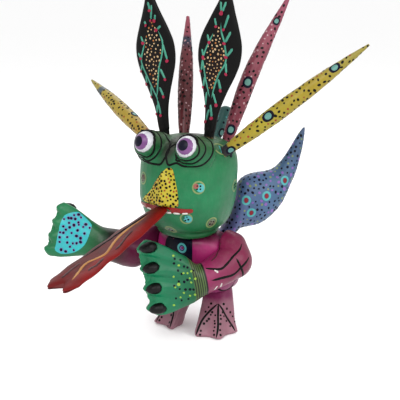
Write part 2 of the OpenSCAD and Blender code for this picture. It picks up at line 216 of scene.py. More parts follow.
def makeBrushGroup():
    # hand-brushed paint: two tones, long streaks and the ridges of the brush
    group, start, end = newGroup("brushedPaint", [
        ("Vector", "NodeSocketVector", None), ("Paint", "NodeSocketColor", None),
        ("Shade", "NodeSocketColor", None), ("Patches", "NodeSocketFloat", 0.5),
        ("Streaks", "NodeSocketFloat", 0.25), ("Gloss", "NodeSocketFloat", 0.4)],
        [("Color", "NodeSocketColor"), ("Roughness", "NodeSocketFloat"), ("Height", "NodeSocketFloat")])
    vector = start.outputs["Vector"]
    stretch = group.nodes.new("ShaderNodeMapping")
    stretch.inputs["Scale"].default_value = (900, 900, 130)
    group.links.new(vector, stretch.inputs["Vector"])
    streak = noiseNode(group, stretch.outputs[0], 1.0, 4, 0.62)
    patch = noiseNode(group, vector, 48, 3, 0.55)
    fine = noiseNode(group, vector, 1500, 2, 0.6)
    patchShare = rangeNode(group, patch, 0.38, 0.68)
    mottled = mixNode(group, mathNode(group, "MULTIPLY", patchShare, start.outputs["Patches"]),
                      start.outputs["Paint"], start.outputs["Shade"])
    streakShare = mathNode(group, "MULTIPLY", rangeNode(group, streak, 0.3, 0.72), start.outputs["Streaks"])
    streaked = mixNode(group, streakShare, mottled,
                       mixNode(group, 1.0, mottled, (1.35, 1.35, 1.3, 1), "MULTIPLY"))
    group.links.new(streaked, end.inputs["Color"])
    rough = mathNode(group, "ADD", mathNode(group, "MULTIPLY", streak, 0.18), start.outputs["Gloss"])
    group.links.new(mathNode(group, "SUBTRACT", rough, 0.05), end.inputs["Roughness"])
    ridge = mathNode(group, "ADD", mathNode(group, "MULTIPLY", streak, 0.75),
                     mathNode(group, "MULTIPLY", fine, 0.25))
    group.links.new(ridge, end.inputs["Height"])
    return group


def makeDustGroup():
    # thin dust and hand grime that settles on what faces up and in patches
    group, start, end = newGroup("settledDust", [
        ("Vector", "NodeSocketVector", None), ("Color", "NodeSocketColor", None),
        ("Dust", "NodeSocketColor", (0.45, 0.42, 0.36, 1)), ("Amount", "NodeSocketFloat", 0.15)],
        [("Color", "NodeSocketColor"), ("Mask", "NodeSocketFloat")])
    facing = group.nodes.new("ShaderNodeNewGeometry")
    parts = group.nodes.new("ShaderNodeSeparateXYZ")
    group.links.new(facing.outputs["Normal"], parts.inputs[0])
    up = rangeNode(group, parts.outputs["Z"], 0.1, 1.0)
    cloud = rangeNode(group, noiseNode(group, start.outputs["Vector"], 160, 4, 0.65), 0.4, 0.75)
    share = mathNode(group, "MULTIPLY", mathNode(group, "MULTIPLY", mathNode(group, "ADD", up, 0.3), cloud),
                     start.outputs["Amount"], clamp=True)
    group.links.new(mixNode(group, share, start.outputs["Color"], start.outputs["Dust"]), end.inputs["Color"])
    group.links.new(share, end.inputs["Mask"])
    return group


def makeGrainGroup():
    # pale copal wood, as bare tenons and sockets show it
    group, start, end = newGroup("copalGrain", [
        ("Vector", "NodeSocketVector", None), ("Light", "NodeSocketColor", rgb(222, 190, 140)),
        ("Dark", "NodeSocketColor", rgb(176, 132, 84))],
        [("Color", "NodeSocketColor"), ("Roughness", "NodeSocketFloat"), ("Height", "NodeSocketFloat")])
    stretch = group.nodes.new("ShaderNodeMapping")
    stretch.inputs["Scale"].default_value = (700, 700, 40)
    group.links.new(start.outputs["Vector"], stretch.inputs["Vector"])
    fibre = noiseNode(group, stretch.outputs[0], 1.0, 5, 0.65)
    group.links.new(mixNode(group, rangeNode(group, fibre, 0.3, 0.7), start.outputs["Light"],
                            start.outputs["Dark"]), end.inputs["Color"])
    group.links.new(rangeNode(group, fibre, 0, 1, 0.6, 0.8), end.inputs["Roughness"])
    group.links.new(fibre, end.inputs["Height"])
    return group


def makeAlongGroup():
    # distance in millimetres along a direction, for bands and fades of colour
    group, start, end = newGroup("alongPiece", [
        ("Vector", "NodeSocketVector", None), ("Direction", "NodeSocketVector", (0, 0, 1)),
        ("Offset", "NodeSocketFloat", 0.0), ("Waver", "NodeSocketFloat", 0.0)],
        [("Value", "NodeSocketFloat")])
    dot = group.nodes.new("ShaderNodeVectorMath")
    dot.operation = "DOT_PRODUCT"
    group.links.new(start.outputs["Vector"], dot.inputs[0])
    group.links.new(start.outputs["Direction"], dot.inputs[1])
    metric = mathNode(group, "SUBTRACT", mathNode(group, "MULTIPLY", dot.outputs["Value"], 1000.0),
                      start.outputs["Offset"])
    waver = mathNode(group, "MULTIPLY", mathNode(group, "SUBTRACT",
                     noiseNode(group, start.outputs["Vector"], 120, 3, 0.6), 0.5), start.outputs["Waver"])
    group.links.new(mathNode(group, "ADD", metric, waver), end.inputs["Value"])
    return group


brushGroup = makeBrushGroup()
dustGroup = makeDustGroup()
grainGroup = makeGrainGroup()
alongGroup = makeAlongGroup()
print("shader groups ready")

# materials


def placeGroup(tree, group, **values):
    node = tree.nodes.new("ShaderNodeGroup")
    node.node_tree = group
    for label, value in values.items():
        socket = node.inputs[label]
        if isinstance(value, (int, float, tuple)):
            socket.default_value = value
        else:
            tree.links.new(value, socket)
    return node


def startMaterial(name):
    material = bpy.data.materials.new(name)
    material.use_nodes = True
    tree = material.node_tree
    skin = tree.nodes["Principled BSDF"]
    place = tree.nodes.new("ShaderNodeTexCoord").outputs["Object"]
    return material, tree, skin, place


def finishPaint(tree, skin, place, paint, shade, patches, streaks, gloss, coat, bump, dust):
    brushed = placeGroup(tree, brushGroup, Vector=place, Paint=paint, Shade=shade, Patches=patches,
                         Streaks=streaks, Gloss=gloss)
    dusty = placeGroup(tree, dustGroup, Vector=place, Color=brushed.outputs["Color"], Amount=dust)
    tree.links.new(dusty.outputs["Color"], skin.inputs["Base Color"])
    rough = mathNode(tree, "ADD", brushed.outputs["Roughness"],
                     mathNode(tree, "MULTIPLY", dusty.outputs["Mask"], 0.4))
    tree.links.new(rough, skin.inputs["Roughness"])
    skin.inputs["Specular IOR Level"].default_value = 0.28
    skin.inputs["Coat Weight"].default_value = coat
    skin.inputs["Coat Roughness"].default_value = 0.25
    relief = tree.nodes.new("ShaderNodeBump")
    relief.inputs["Strength"].default_value = bump
    relief.inputs["Distance"].default_value = 0.0004
    tree.links.new(brushed.outputs["Height"], relief.inputs["Height"])
    tree.links.new(relief.outputs[0], skin.inputs["Normal"])


def paintMaterial(name, paint, shade, patches=0.6, streaks=0.3, gloss=0.36, coat=0.04, bump=0.35, dust=0.03):
    material, tree, skin, place = startMaterial(name)
    finishPaint(tree, skin, place, paint, shade, patches, streaks, gloss, coat, bump, dust)
    return material


def rampNode(tree, value, stops):
    # stops are (place in mm, colour); the ramp runs over their whole span
    low, high = stops[0][0], stops[-1][0]
    share = rangeNode(tree, value, low, high, smooth=False)
    ramp = tree.nodes.new("ShaderNodeValToRGB")
    while len(ramp.color_ramp.elements) > 1:
        ramp.color_ramp.elements.remove(ramp.color_ramp.elements[0])
    ramp.color_ramp.elements[0].position = 0
    ramp.color_ramp.elements[0].color = stops[0][1]
    for metric, colour in stops[1:]:
        mark = ramp.color_ramp.elements.new((metric - low) / (high - low))
        mark.color = colour
    tree.links.new(share, ramp.inputs[0])
    return ramp.outputs[0]


def fadeMaterial(name, direction, stops, shadeBy=0.6, waver=6.0, patches=0.6, streaks=0.3, gloss=0.36,
                 coat=0.04, bump=0.35, dust=0.03):
    material, tree, skin, place = startMaterial(name)
    along = placeGroup(tree, alongGroup, Vector=place, Direction=tuple(direction), Waver=waver)
    paint = rampNode(tree, along.outputs["Value"], stops)
    shade = mixNode(tree, 1.0, paint, (shadeBy, shadeBy, shadeBy, 1), "MULTIPLY")
    finishPaint(tree, skin, place, paint, shade, patches, streaks, gloss, coat, bump, dust)
    return material


def woodMaterial():
    material, tree, skin, place = startMaterial("bareCopal")
    grain = placeGroup(tree, grainGroup, Vector=place)
    tree.links.new(grain.outputs["Color"], skin.inputs["Base Color"])
    tree.links.new(grain.outputs["Roughness"], skin.inputs["Roughness"])
    relief = tree.nodes.new("ShaderNodeBump")
    relief.inputs["Strength"].default_value = 0.3
    relief.inputs["Distance"].default_value = 0.0003
    tree.links.new(grain.outputs["Height"], relief.inputs["Height"])
    tree.links.new(relief.outputs[0], skin.inputs["Normal"])
    return material


bareCopal = woodMaterial()


def dull(material, level=0.1):
    # deep blacks that hardly mirror the bright room
    skin = material.node_tree.nodes["Principled BSDF"]
    skin.inputs["Specular IOR Level"].default_value = level
    skin.inputs["Coat Weight"].default_value = 0.0
    return material


inkBlack = dull(paintMaterial("inkBlack", rgb(12, 14, 14), rgb(20, 20, 22), gloss=0.4, bump=0.15, dust=0.0))
inkNavy = dull(paintMaterial("inkNavy", rgb(24, 24, 62), rgb(12, 12, 42), gloss=0.4, bump=0.15, dust=0.0))
rust = paintMaterial("rustDots", rgb(165, 70, 40), rgb(130, 50, 30), bump=0.15)
cream = paintMaterial("creamDots", rgb(222, 190, 146), rgb(190, 148, 98), bump=0.15)
amber = paintMaterial("amberDots", rgb(186, 122, 72), rgb(160, 96, 56), bump=0.15)
milkWhite = paintMaterial("milkWhite", rgb(236, 232, 226), rgb(214, 206, 204), bump=0.15)
ringCream = paintMaterial("ringCream", rgb(146, 160, 108), rgb(104, 134, 84), bump=0.15)
aqua = paintMaterial("aquaMarks", rgb(100, 190, 190), rgb(78, 165, 172), bump=0.15)
greyTeal = paintMaterial("greyTealMarks", rgb(110, 165, 155), rgb(85, 140, 135), bump=0.15)
lime = paintMaterial("limeDots", rgb(168, 205, 84), rgb(130, 180, 72), bump=0.15)
violet = paintMaterial("violetMarks", rgb(150, 110, 190), rgb(125, 90, 170), bump=0.15)
wine = paintMaterial("wineMarks", rgb(150, 35, 60), rgb(120, 25, 50), bump=0.15)
mint = paintMaterial("mintTwigs", rgb(86, 166, 142), rgb(60, 126, 112), streaks=0.5, bump=0.3)
rose = paintMaterial("roseTips", rgb(178, 52, 82), rgb(140, 40, 64), bump=0.2)
goldLine = paintMaterial("goldLine", rgb(200, 145, 85), rgb(165, 105, 60), bump=0.25)
print("shared paints ready")

# helpers for shape

plugSettings = {"depth": {"tongue": 0.016, "tail": 0.018}, "usualDepth": 0.017,
                "radius": {"tongue": 0.003, "tail": 0.006}, "usualRadius": 0.0045}
plugs = {}
for joint in frame["joints"]:
    name = joint["child"]
    direction = Vector(joint["axis"]).normalized()
    points = [v.co for v in frame["nodes"][name].data.vertices]
    lowest = min(p.dot(direction) for p in points)
    end = [p for p in points if p.dot(direction) < lowest + 0.0002]
    plugs[name] = {"start": sum(end, Vector()) / len(end), "way": direction,
                   "depth": plugSettings["depth"].get(name, plugSettings["usualDepth"]),
                   "radius": plugSettings["radius"].get(name, plugSettings["usualRadius"])}


def bodyOf(node):
    return next(body for body, members in frame["record"]["behaviour"]["bodies"].items() if node in members)


def nearPlug(point, extra, short):
    for plug in plugs.values():
        offset = point - plug["start"]
        along = offset.dot(plug["way"])
        if -0.002 < along < plug["depth"] - short:
            if (offset - plug["way"] * along).length < plug["radius"] + extra:
                return True
    return False


def applyAll(piece):
    pickOnly(piece)
    for modifier in list(piece.modifiers):
        bpy.ops.object.modifier_apply(modifier=modifier.name)


def carvedCopy(node, slotName, material, voxel=None, smoothing=0, chisel=0.0, chiselSize=0.012, rounding=0,
               bareShort=0.0004):
    source = frame["nodes"][node]
    piece = bpy.data.objects.new(node + "Carved", source.data.copy())
    scene.collection.objects.link(piece)
    pickOnly(piece)
    bpy.ops.object.mode_set(mode="EDIT")
    bpy.ops.mesh.select_all(action="SELECT")
    bpy.ops.mesh.remove_doubles(threshold=0.000002)
    bpy.ops.object.mode_set(mode="OBJECT")
    if piece.data.has_custom_normals:
        bpy.ops.mesh.customdata_custom_splitnormals_clear()
    if voxel:
        remesh = piece.modifiers.new("blank", "REMESH")
        remesh.mode = "VOXEL"
        remesh.voxel_size = voxel
    if rounding:
        soft = piece.modifiers.new("round", "SUBSURF")
        soft.levels = soft.render_levels = rounding
    applyAll(piece)
    free = piece.vertex_groups.new(name="skin")
    free.add([v.index for v in piece.data.vertices if not nearPlug(v.co, 0.0008, -0.0003)], 1.0, "REPLACE")
    if smoothing:
        sand = piece.modifiers.new("sand", "SMOOTH")
        sand.factor = 0.5
        sand.iterations = smoothing
        sand.vertex_group = "skin"
    if chisel:
        marks = bpy.data.textures.new(node + "Chisel", "CLOUDS")
        marks.noise_scale = chiselSize
        marks.noise_depth = 1
        cut = piece.modifiers.new("chisel", "DISPLACE")
        cut.texture = marks
        cut.strength = chisel
        cut.mid_level = 0.5
        cut.vertex_group = "skin"
    applyAll(piece)
    piece.data.materials.clear()
    piece.data.materials.append(material)
    piece.data.materials.append(bareCopal)
    for face in piece.data.polygons:
        face.material_index = 1 if nearPlug(face.center, 0.0004, bareShort) else 0
    bpy.ops.object.shade_smooth_by_angle(angle=math.radians(50))
    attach(piece, bodyOf(node))
    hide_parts(node)
    return piece


skins = {}


def skinTree(piece):
    if piece.name not in skins:
        mesh = piece.data
        skins[piece.name] = BVHTree.FromPolygons([v.co.copy() for v in mesh.vertices],
                                                 [tuple(f.vertices) for f in mesh.polygons])
    return skins[piece.name]


def nearest(pieces, point):
    best = None
    for piece in pieces:
        place, normal, _, distance = skinTree(piece).find_nearest(point)
        if best is None or distance < best[2]:
            best = (place, normal, distance)
    return best[0], best[1]


def spot(node, share):
    low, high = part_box(node)
    return Vector(low[i] + (high[i] - low[i]) * share[i] for i in range(3))


def spotsOn(node, shares):
    return [spot(node, share) for share in shares]


def mirrored(shares):
    return [(1 - share[0], share[1], share[2]) for share in shares]


def joinAll(copies, name):
    deselect()
    for copy in copies:
        copy.select_set(True)
    bpy.context.view_layer.objects.active = copies[0]
    if len(copies) > 1:
        bpy.ops.object.join()
    joined = bpy.context.object
    joined.name = name
    return joined


def discModel():
    # one small round dab of paint, a fan of ten faces
    deselect()
    bpy.ops.mesh.primitive_circle_add(vertices=10, radius=1, fill_type="TRIFAN")
    model = bpy.context.object
    bpy.ops.object.mode_set(mode="EDIT")
    bpy.ops.mesh.select_all(action="SELECT")
    bpy.ops.mesh.normals_make_consistent(inside=False)
    bpy.ops.object.mode_set(mode="OBJECT")
    model.hide_render = True
    return model


def patchModel(rings):
    # a round patch with loops inside it, so that it can follow a curved skin
    deselect()
    bpy.ops.mesh.primitive_circle_add(vertices=48, radius=1, fill_type="NGON")
    model = bpy.context.object
    bpy.ops.object.mode_set(mode="EDIT")
    bpy.ops.mesh.select_all(action="SELECT")
    for _ in range(rings):
        bpy.ops.mesh.inset(thickness=1 / (rings + 1))
    bpy.ops.mesh.poke()
    bpy.ops.object.mode_set(mode="OBJECT")
    model.hide_render = True
    return model


def hoopModel(width):
    # a flat hoop: a round patch with its middle taken out
    deselect()
    bpy.ops.mesh.primitive_circle_add(vertices=40, radius=1, fill_type="NGON")
    model = bpy.context.object
    bpy.ops.object.mode_set(mode="EDIT")
    bpy.ops.mesh.select_all(action="SELECT")
    bpy.ops.mesh.inset(thickness=width / 2)
    bpy.ops.mesh.inset(thickness=width / 2)
    bpy.ops.mesh.delete(type="FACE")
    bpy.ops.object.mode_set(mode="OBJECT")
    model.hide_render = True
    return model


def standOn(normal, spin=0.0):
    side = Vector((0, 0, 1)).cross(normal)
    if side.length < 1e-4:
        side = Vector((1, 0, 0))
    side.normalize()
    up = normal.cross(side)
    turn = Matrix((side, up, normal)).transposed()
    return turn.to_4x4() @ Matrix.Rotation(spin, 4, "Z")


def settle(piece, target, lift, thickness, splits=0):
    # drapes flat shapes over the skin below them and gives them the body of wet paint
    if splits:
        fine = piece.modifiers.new("fine", "SUBSURF")
        fine.subdivision_type = "SIMPLE"
        fine.levels = fine.render_levels = splits
    wrap = piece.modifiers.new("wrap", "SHRINKWRAP")
    wrap.target = target
    wrap.wrap_method = "NEAREST_SURFACEPOINT"
    wrap.wrap_mode = "ABOVE_SURFACE"
    wrap.offset = lift
    body = piece.modifiers.new("body", "SOLIDIFY")
    body.thickness = thickness
    body.offset = -1
    applyAll(piece)


def finishMarks(piece, target, material, lift, thickness, node, splits=0):
    settle(piece, target, lift, thickness, splits)
    piece.data.materials.clear()
    piece.data.materials.append(material)
    bpy.ops.object.shade_smooth_by_angle(angle=math.radians(40))
    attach(piece, bodyOf(node))
    return piece


slotNames = {"eye": "eyes", "ear_": "ears", "arm_": "arms", "leg_": "legs", "claws": "claws",
             "yellow": "yellow_spines", "pink": "pink_spines"}


def frameSlot(node):
    for key, slotName in slotNames.items():
        if node.startswith(key):
            return slotName
    return node


def stampAll(model, target, node, name, marks, material, lift=0.00012, thickness=0.00022):
    # marks are (point near the skin, radius, stretch, spin)
    copies = []
    for point, radius, stretch, spin in marks:
        place, normal = nearest([target], point)
        copy = model.copy()
        copy.data = model.data.copy()
        copy.hide_render = False
        copy.data.transform(Matrix.Translation(place + normal * 0.0003) @ standOn(normal, spin)
                            @ Matrix.Diagonal((radius * stretch, radius, radius, 1)))
        scene.collection.objects.link(copy)
        copies.append(copy)
    piece = joinAll(copies, name)
    return finishMarks(piece, target, material, lift, thickness, node)


def curveAt(corners, t):
    # a smooth curve from the second to the third of four points
    a, b, c, d = corners
    squared = (2 * a - 5 * b + 4 * c - d) * t * t
    cubed = (3 * b - a - 3 * c + d) * t * t * t
    return 0.5 * (2 * b + (c - a) * t + squared + cubed)


def outlineAt(points, turn):
    # a closed smooth line through the points, read at a turn from 0 to 1
    count = len(points)
    place = turn * count
    k = int(place) % count
    return curveAt([points[(k + i) % count] for i in (-1, 0, 1, 2)], place - int(place))


def paintShape(model, target, node, name, outline, material, lift=0.00008, thickness=0.0002,
               splits=2, cast=False):
    # a patch stretched from a round one to the outline's points
    centre = sum(outline, Vector()) / len(outline)
    _, normal = nearest([target], centre)
    first = outline[0] - centre
    second = outline[1] - centre
    if first.cross(second).dot(normal) < 0:
        outline = list(reversed(outline))
    copy = model.copy()
    copy.data = model.data.copy()
    copy.hide_render = False
    scene.collection.objects.link(copy)
    for vertex in copy.data.vertices:
        turn = (math.atan2(vertex.co.y, vertex.co.x) / (2 * math.pi)) % 1
        reach = min(1.0, math.hypot(vertex.co.x, vertex.co.y))
        point = centre.lerp(outlineAt(outline, turn), reach)
        hit = skinTree(target).ray_cast(point + normal * 0.02, -normal)[0] if cast else None
        vertex.co = hit if hit and (hit - point).length < 0.012 else point
    copy.name = name
    return finishMarks(copy, target, material, lift, thickness, node, splits)


def smoothLine(points, steps):
    line = []
    last = len(points) - 1
    for k in range(last):
        corners = [points[min(max(k + i, 0), last)] for i in (-1, 0, 1, 2)]
        line += [curveAt(corners, step / steps) for step in range(steps)]
    return line + [points[-1]]


def strokes(name, node, pieces, lines, width, material, steps=8, sink=0.55, taper=0.35):
    # brush lines laid on the skin, each thick in its middle and thin at its ends
    curve = bpy.data.curves.new(name, "CURVE")
    curve.dimensions = "3D"
    curve.bevel_depth = width / 2
    curve.bevel_resolution = 2
    curve.use_fill_caps = True
    for points in lines:
        line = smoothLine([Vector(p) for p in points], steps)
        spline = curve.splines.new("POLY")
        spline.points.add(len(line) - 1)
        for k, point in enumerate(line):
            place, normal = nearest(pieces, point)
            place = place - normal * (width / 2) * sink
            spline.points[k].co = (*place, 1)
            share = k / (len(line) - 1)
            spline.points[k].radius = taper + (1 - taper) * min(1.0, 5 * share, 5 * (1 - share)) \
                * (0.9 + 0.2 * chance.random())
    stroke = bpy.data.objects.new(name, curve)
    scene.collection.objects.link(stroke)
    pickOnly(stroke)
    bpy.ops.object.convert(target="MESH")
    stroke = bpy.context.object
    stroke.data.materials.clear()
    stroke.data.materials.append(material)
    bpy.ops.object.shade_smooth_by_angle(angle=math.radians(60))
    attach(stroke, bodyOf(node))


def scatter(piece, count, gap, allow):
    # well spaced points on the outer side of a piece
    faces = list(piece.data.polygons)
    weights = [face.area for face in faces]
    found = []
    for face in chance.choices(faces, weights, k=count * 60):
        corners = [piece.data.vertices[i].co for i in face.vertices]
        mix = [chance.random() for _ in corners]
        point = sum((c * m for c, m in zip(corners, mix)), Vector()) / sum(mix)
        if not allow(point, face.normal):
            continue
        if all((point - other).length > gap for other in found):
            found.append(point)
            if len(found) == count:
                break
    return found


def outerSide(target):
    def test(point, normal):
        return normal.dot(nearest([target], point)[1]) > 0.5
    return test


def dabs(points, low, high, stretch=1.0):
    return [(p, low + (high - low) * chance.random() ** 1.6, 1 + (stretch - 1) * chance.random(),
             chance.random() * 3.1) for p in points]


dab = discModel()
patch = patchModel(5)
hoop = hoopModel(0.24)
wideHoop = hoopModel(0.42)

# head

headSettings = {"carving": {"voxel": 0.00095, "smoothing": 8, "chisel": 0.0006, "chiselSize": 0.014},
                "noseDots": 92, "noseInk": 72, "noseGap": 0.0024, "toothLine": 0.0021}


def headMaterial():
    # green that turns olive towards the crown, with a brown shadow painted between the eyes and painted shade on
    # the far side
    material, tree, skin, place = startMaterial("leafGreen")
    height = placeGroup(tree, alongGroup, Vector=place, Direction=(0, 0, 1), Waver=7.0)
    across = placeGroup(tree, alongGroup, Vector=place, Direction=(1, 0, 0), Waver=3.0)
    paint = rampNode(tree, height.outputs["Value"], [
        (94, rgb(34, 104, 66)), (112, rgb(38, 122, 82)), (138, rgb(42, 134, 90)), (160, rgb(42, 128, 84)),
        (172, rgb(50, 114, 76)), (186, rgb(66, 98, 66))])
    between = rangeNode(tree, mathNode(tree, "ABSOLUTE", across.outputs["Value"]), 3, 11, 1, 0)
    upper = rangeNode(tree, height.outputs["Value"], 157, 174)
    shadow = mathNode(tree, "MULTIPLY", mathNode(tree, "MULTIPLY", between, upper), 0.8)
    paint = mixNode(tree, shadow, paint, rgb(58, 48, 38))
    # painted shade: the far side of the head, away from the lamps, mixed half way to a darker green
    far = rangeNode(tree, across.outputs["Value"], -20, -44)
    paint = mixNode(tree, mathNode(tree, "MULTIPLY", far, 0.5), paint, rgb(66, 92, 62))
    shade = mixNode(tree, 1.0, paint, (0.72, 0.72, 0.72, 1), "MULTIPLY")
    finishPaint(tree, skin, place, paint, shade, 0.6, 0.3, 0.38, 0.04, 0.35, 0.06)
    return material


head = carvedCopy("head", "head", headMaterial(), **headSettings["carving"])

nosePaint = paintMaterial("noseYellow", rgb(206, 190, 66), rgb(198, 158, 68), patches=0.5, bump=0.3)
noseOutline = [(0.548, 0.105, 0.697), (0.602, 0.108, 0.684), (0.636, 0.098, 0.6), (0.665, 0.092, 0.508),
               (0.684, 0.081, 0.409), (0.664, 0.083, 0.36), (0.556, 0.07, 0.353), (0.515, 0.02, 0.372),
               (0.40, 0.075, 0.349), (0.305, 0.094, 0.356), (0.222, 0.127, 0.371), (0.346, 0.085, 0.472),
               (0.428, 0.088, 0.58), (0.5, 0.08, 0.66)]
nose = paintShape(patch, head, "head", "nosePatch", spotsOn("head", noseOutline), nosePaint,
                  lift=0.0004, thickness=0.0006, splits=3, cast=True)
noseDots = scatter(nose, headSettings["noseDots"], headSettings["noseGap"], outerSide(head))
noseInk = headSettings["noseInk"]
stampAll(dab, nose, "head", "noseDots", dabs(noseDots[:noseInk], 0.0007, 0.0012, 1.4), inkBlack, lift=0.0004)
stampAll(dab, nose, "head", "noseRust", dabs(noseDots[noseInk:], 0.0006, 0.0009, 1.3), rust, lift=0.0004)

lipPaint = paintMaterial("lipRed", rgb(158, 22, 40), rgb(108, 14, 28), gloss=0.3, bump=0.25)
lipOutline = [(0.13, 0.22, 0.325), (0.2, 0.14, 0.336), (0.289, 0.101, 0.346), (0.401, 0.076, 0.35),
              (0.5, 0.06, 0.354), (0.6, 0.075, 0.353), (0.691, 0.094, 0.349), (0.753, 0.119, 0.346),
              (0.806, 0.146, 0.346), (0.806, 0.15, 0.316), (0.77, 0.136, 0.308), (0.702, 0.106, 0.305),
              (0.614, 0.089, 0.299), (0.5, 0.082, 0.296), (0.4, 0.085, 0.296), (0.31, 0.105, 0.295),
              (0.22, 0.15, 0.298), (0.15, 0.2, 0.306)]
paintShape(patch, head, "head", "lips", spotsOn("head", lipOutline), lipPaint, lift=0.00025, thickness=0.0004)
toothLines = [[(0.165, 0.19, 0.302), (0.235, 0.14, 0.303)], [(0.286, 0.111, 0.301), (0.345, 0.09, 0.3)],
              [(0.538, 0.082, 0.299), (0.598, 0.086, 0.299)], [(0.623, 0.091, 0.300), (0.685, 0.105, 0.301)],
              [(0.712, 0.112, 0.303), (0.762, 0.13, 0.306)]]
strokes("teeth", "head", [head], [spotsOn("head", line) for line in toothLines], headSettings["toothLine"],
        milkWhite, sink=-0.1, taper=0.75)

headRings = {"places": [(0.854, 0.187, 0.538), (0.207, 0.148, 0.559), (0.737, 0.141, 0.251),
                        (0.907, 0.342, 0.189), (0.516, 0.188, 0.104), (0.985, 0.659, 0.481),
                        (0.905, 0.49, 0.842), (0.1, 0.62, 0.48), (0.06, 0.75, 0.29), (0.4, 0.98, 0.53),
                        (0.62, 0.97, 0.29), (0.25, 0.9, 0.24), (0.8, 0.9, 0.2), (0.09, 0.4, 0.3),
                        (0.78, 0.93, 0.66)],
             "hoop": 0.0057, "middle": 0.0036}
ringSpots = spotsOn("head", headRings["places"])
stampAll(hoop, head, "head", "headHoops", [(p, headRings["hoop"] * (1.25 if k == 6 else 1), 1.0, 0)
                                           for k, p in enumerate(ringSpots)], ringCream)
aquaRings = [0, 2, 7, 9, 10, 13]
stampAll(patch, head, "head", "headMiddles",
         [(ringSpots[k] + Vector((0.0012, 0.0008, -0.0004)), headRings["middle"], 1.0, 0)
          for k in aquaRings], aqua, lift=0.00016)
dullTone = paintMaterial("dullRing", rgb(122, 142, 120), rgb(120, 96, 86), patches=1.0, bump=0.2)
stampAll(patch, head, "head", "headDulls", [(ringSpots[k], headRings["middle"], 1.0, 0)
                                            for k in (1, 3, 4, 8, 11, 12, 14)], dullTone, lift=0.00016)
stampAll(dab, head, "head", "headRose", [(ringSpots[0] + Vector((-0.0021, -0.001, 0.0012)), 0.0024, 1.0, 0)],
         paintMaterial("ringRose", rgb(168, 104, 96), rgb(140, 80, 76), bump=0.2), lift=0.0003)
dotSpots = []
for k, point in enumerate(ringSpots[:6] + ringSpots[7:]):
    place, normal = nearest([head], point)
    frameTurn = standOn(normal)
    for step in range(4):
        angle = 1.6 * step + 0.7 + k
        dotSpots.append(place + frameTurn @ Vector((math.cos(angle), math.sin(angle), 0)) * 0.0019)
stampAll(dab, head, "head", "headRingDots", dabs(dotSpots, 0.0006, 0.0010), inkBlack, lift=0.0004)
# the crowded mark at the foot of the left yellow spine
stampAll(patch, head, "head", "spineFootAqua", [(spot("head", (0.915, 0.5, 0.838)), 0.0034, 1.2, 0.5)],
         aqua, lift=0.0002)
stampAll(patch, head, "head", "spineFootNavy",
         [(spot("head", (0.905, 0.567, 0.835)), 0.002, 1.3, 0),
          (spot("head", (0.965, 0.6, 0.775)), 0.0022, 1.3, 1.0),
          (spot("head", (0.95, 0.645, 0.80)), 0.0026, 1.3, 0.3)], inkNavy, lift=0.0004)
print("head ready")

# eyes

eyeSettings = {"shrink": 0.00004, "ringLine": 0.0024, "pupil": 28, "iris": 45,
               "pupilWay": {"eye_left": (3, 23), "eye_right": (-12, 16)},
               "irisWay": {"eye_left": (12, 20), "eye_right": (-2, 17)}}
eyeWhite = paintMaterial("eyeWhite", rgb(228, 228, 234), rgb(205, 210, 222), patches=0.4, gloss=0.2,
                         coat=0.3, bump=0.06, dust=0.0)
eyeViolet = paintMaterial("eyeViolet", rgb(138, 92, 146), rgb(104, 66, 118), gloss=0.3, coat=0.1, bump=0.12,
                          dust=0.0)
eyeNavy = dull(paintMaterial("eyeNavy", rgb(28, 26, 62), rgb(20, 18, 46), gloss=0.35, bump=0.06, dust=0.0),
               0.15)


def wayOf(turn, rise):
    turn, rise = math.radians(turn), math.radians(rise)
    return Vector((math.sin(turn) * math.cos(rise), -math.cos(turn) * math.cos(rise), math.sin(rise)))


def addEye(node):
    low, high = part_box(node)
    centre = (low + high) / 2
    radius = (high.x - low.x) / 2 - eyeSettings["shrink"]
    pupilWay = wayOf(*eyeSettings["pupilWay"][node])
    irisWay = wayOf(*eyeSettings["irisWay"][node])
    deselect()
    bpy.ops.mesh.primitive_uv_sphere_add(segments=96, ring_count=72, radius=radius, location=centre,
                                         rotation=pupilWay.to_track_quat("Z", "Y").to_euler())
    eye = bpy.context.object
    eye.name = node + "Ball"
    bpy.ops.object.transform_apply(location=True, rotation=True, scale=True)
    eye.data.materials.clear()
    for paint in (eyeNavy, eyeViolet, eyeWhite):
        eye.data.materials.append(paint)
    for face in eye.data.polygons:
        way = face.center - centre
        face.material_index = 0 if pupilWay.angle(way) < math.radians(eyeSettings["pupil"]) else \
            1 if irisWay.angle(way) < math.radians(eyeSettings["iris"]) else 2
    bpy.ops.object.shade_smooth()
    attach(eye, bodyOf(node))
    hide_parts(node)


for node in ("eye_left", "eye_right"):
    addEye(node)

# three black lines round each eye: outer half as on the left eye, inner half as on the right eye
outerRings = [
    [(0.797, 0.166, 0.982), (0.844, 0.152, 0.96), (0.875, 0.149, 0.93), (0.889, 0.146, 0.889),
     (0.884, 0.135, 0.847), (0.863, 0.116, 0.819), (0.827, 0.098, 0.797), (0.771, 0.082, 0.787),
     (0.711, 0.085, 0.792), (0.626, 0.151, 0.791)],
    [(0.842, 0.22, 0.964), (0.874, 0.23, 0.936), (0.901, 0.232, 0.899), (0.913, 0.214, 0.859),
     (0.904, 0.184, 0.819), (0.875, 0.155, 0.785), (0.824, 0.131, 0.759), (0.761, 0.11, 0.758),
     (0.692, 0.126, 0.757), (0.625, 0.138, 0.767)],
    [(0.839, 0.358, 0.944), (0.878, 0.365, 0.921), (0.919, 0.342, 0.884), (0.938, 0.312, 0.846),
     (0.939, 0.277, 0.808), (0.914, 0.228, 0.762), (0.871, 0.19, 0.735), (0.801, 0.151, 0.726),
     (0.702, 0.139, 0.723), (0.631, 0.129, 0.743)]]
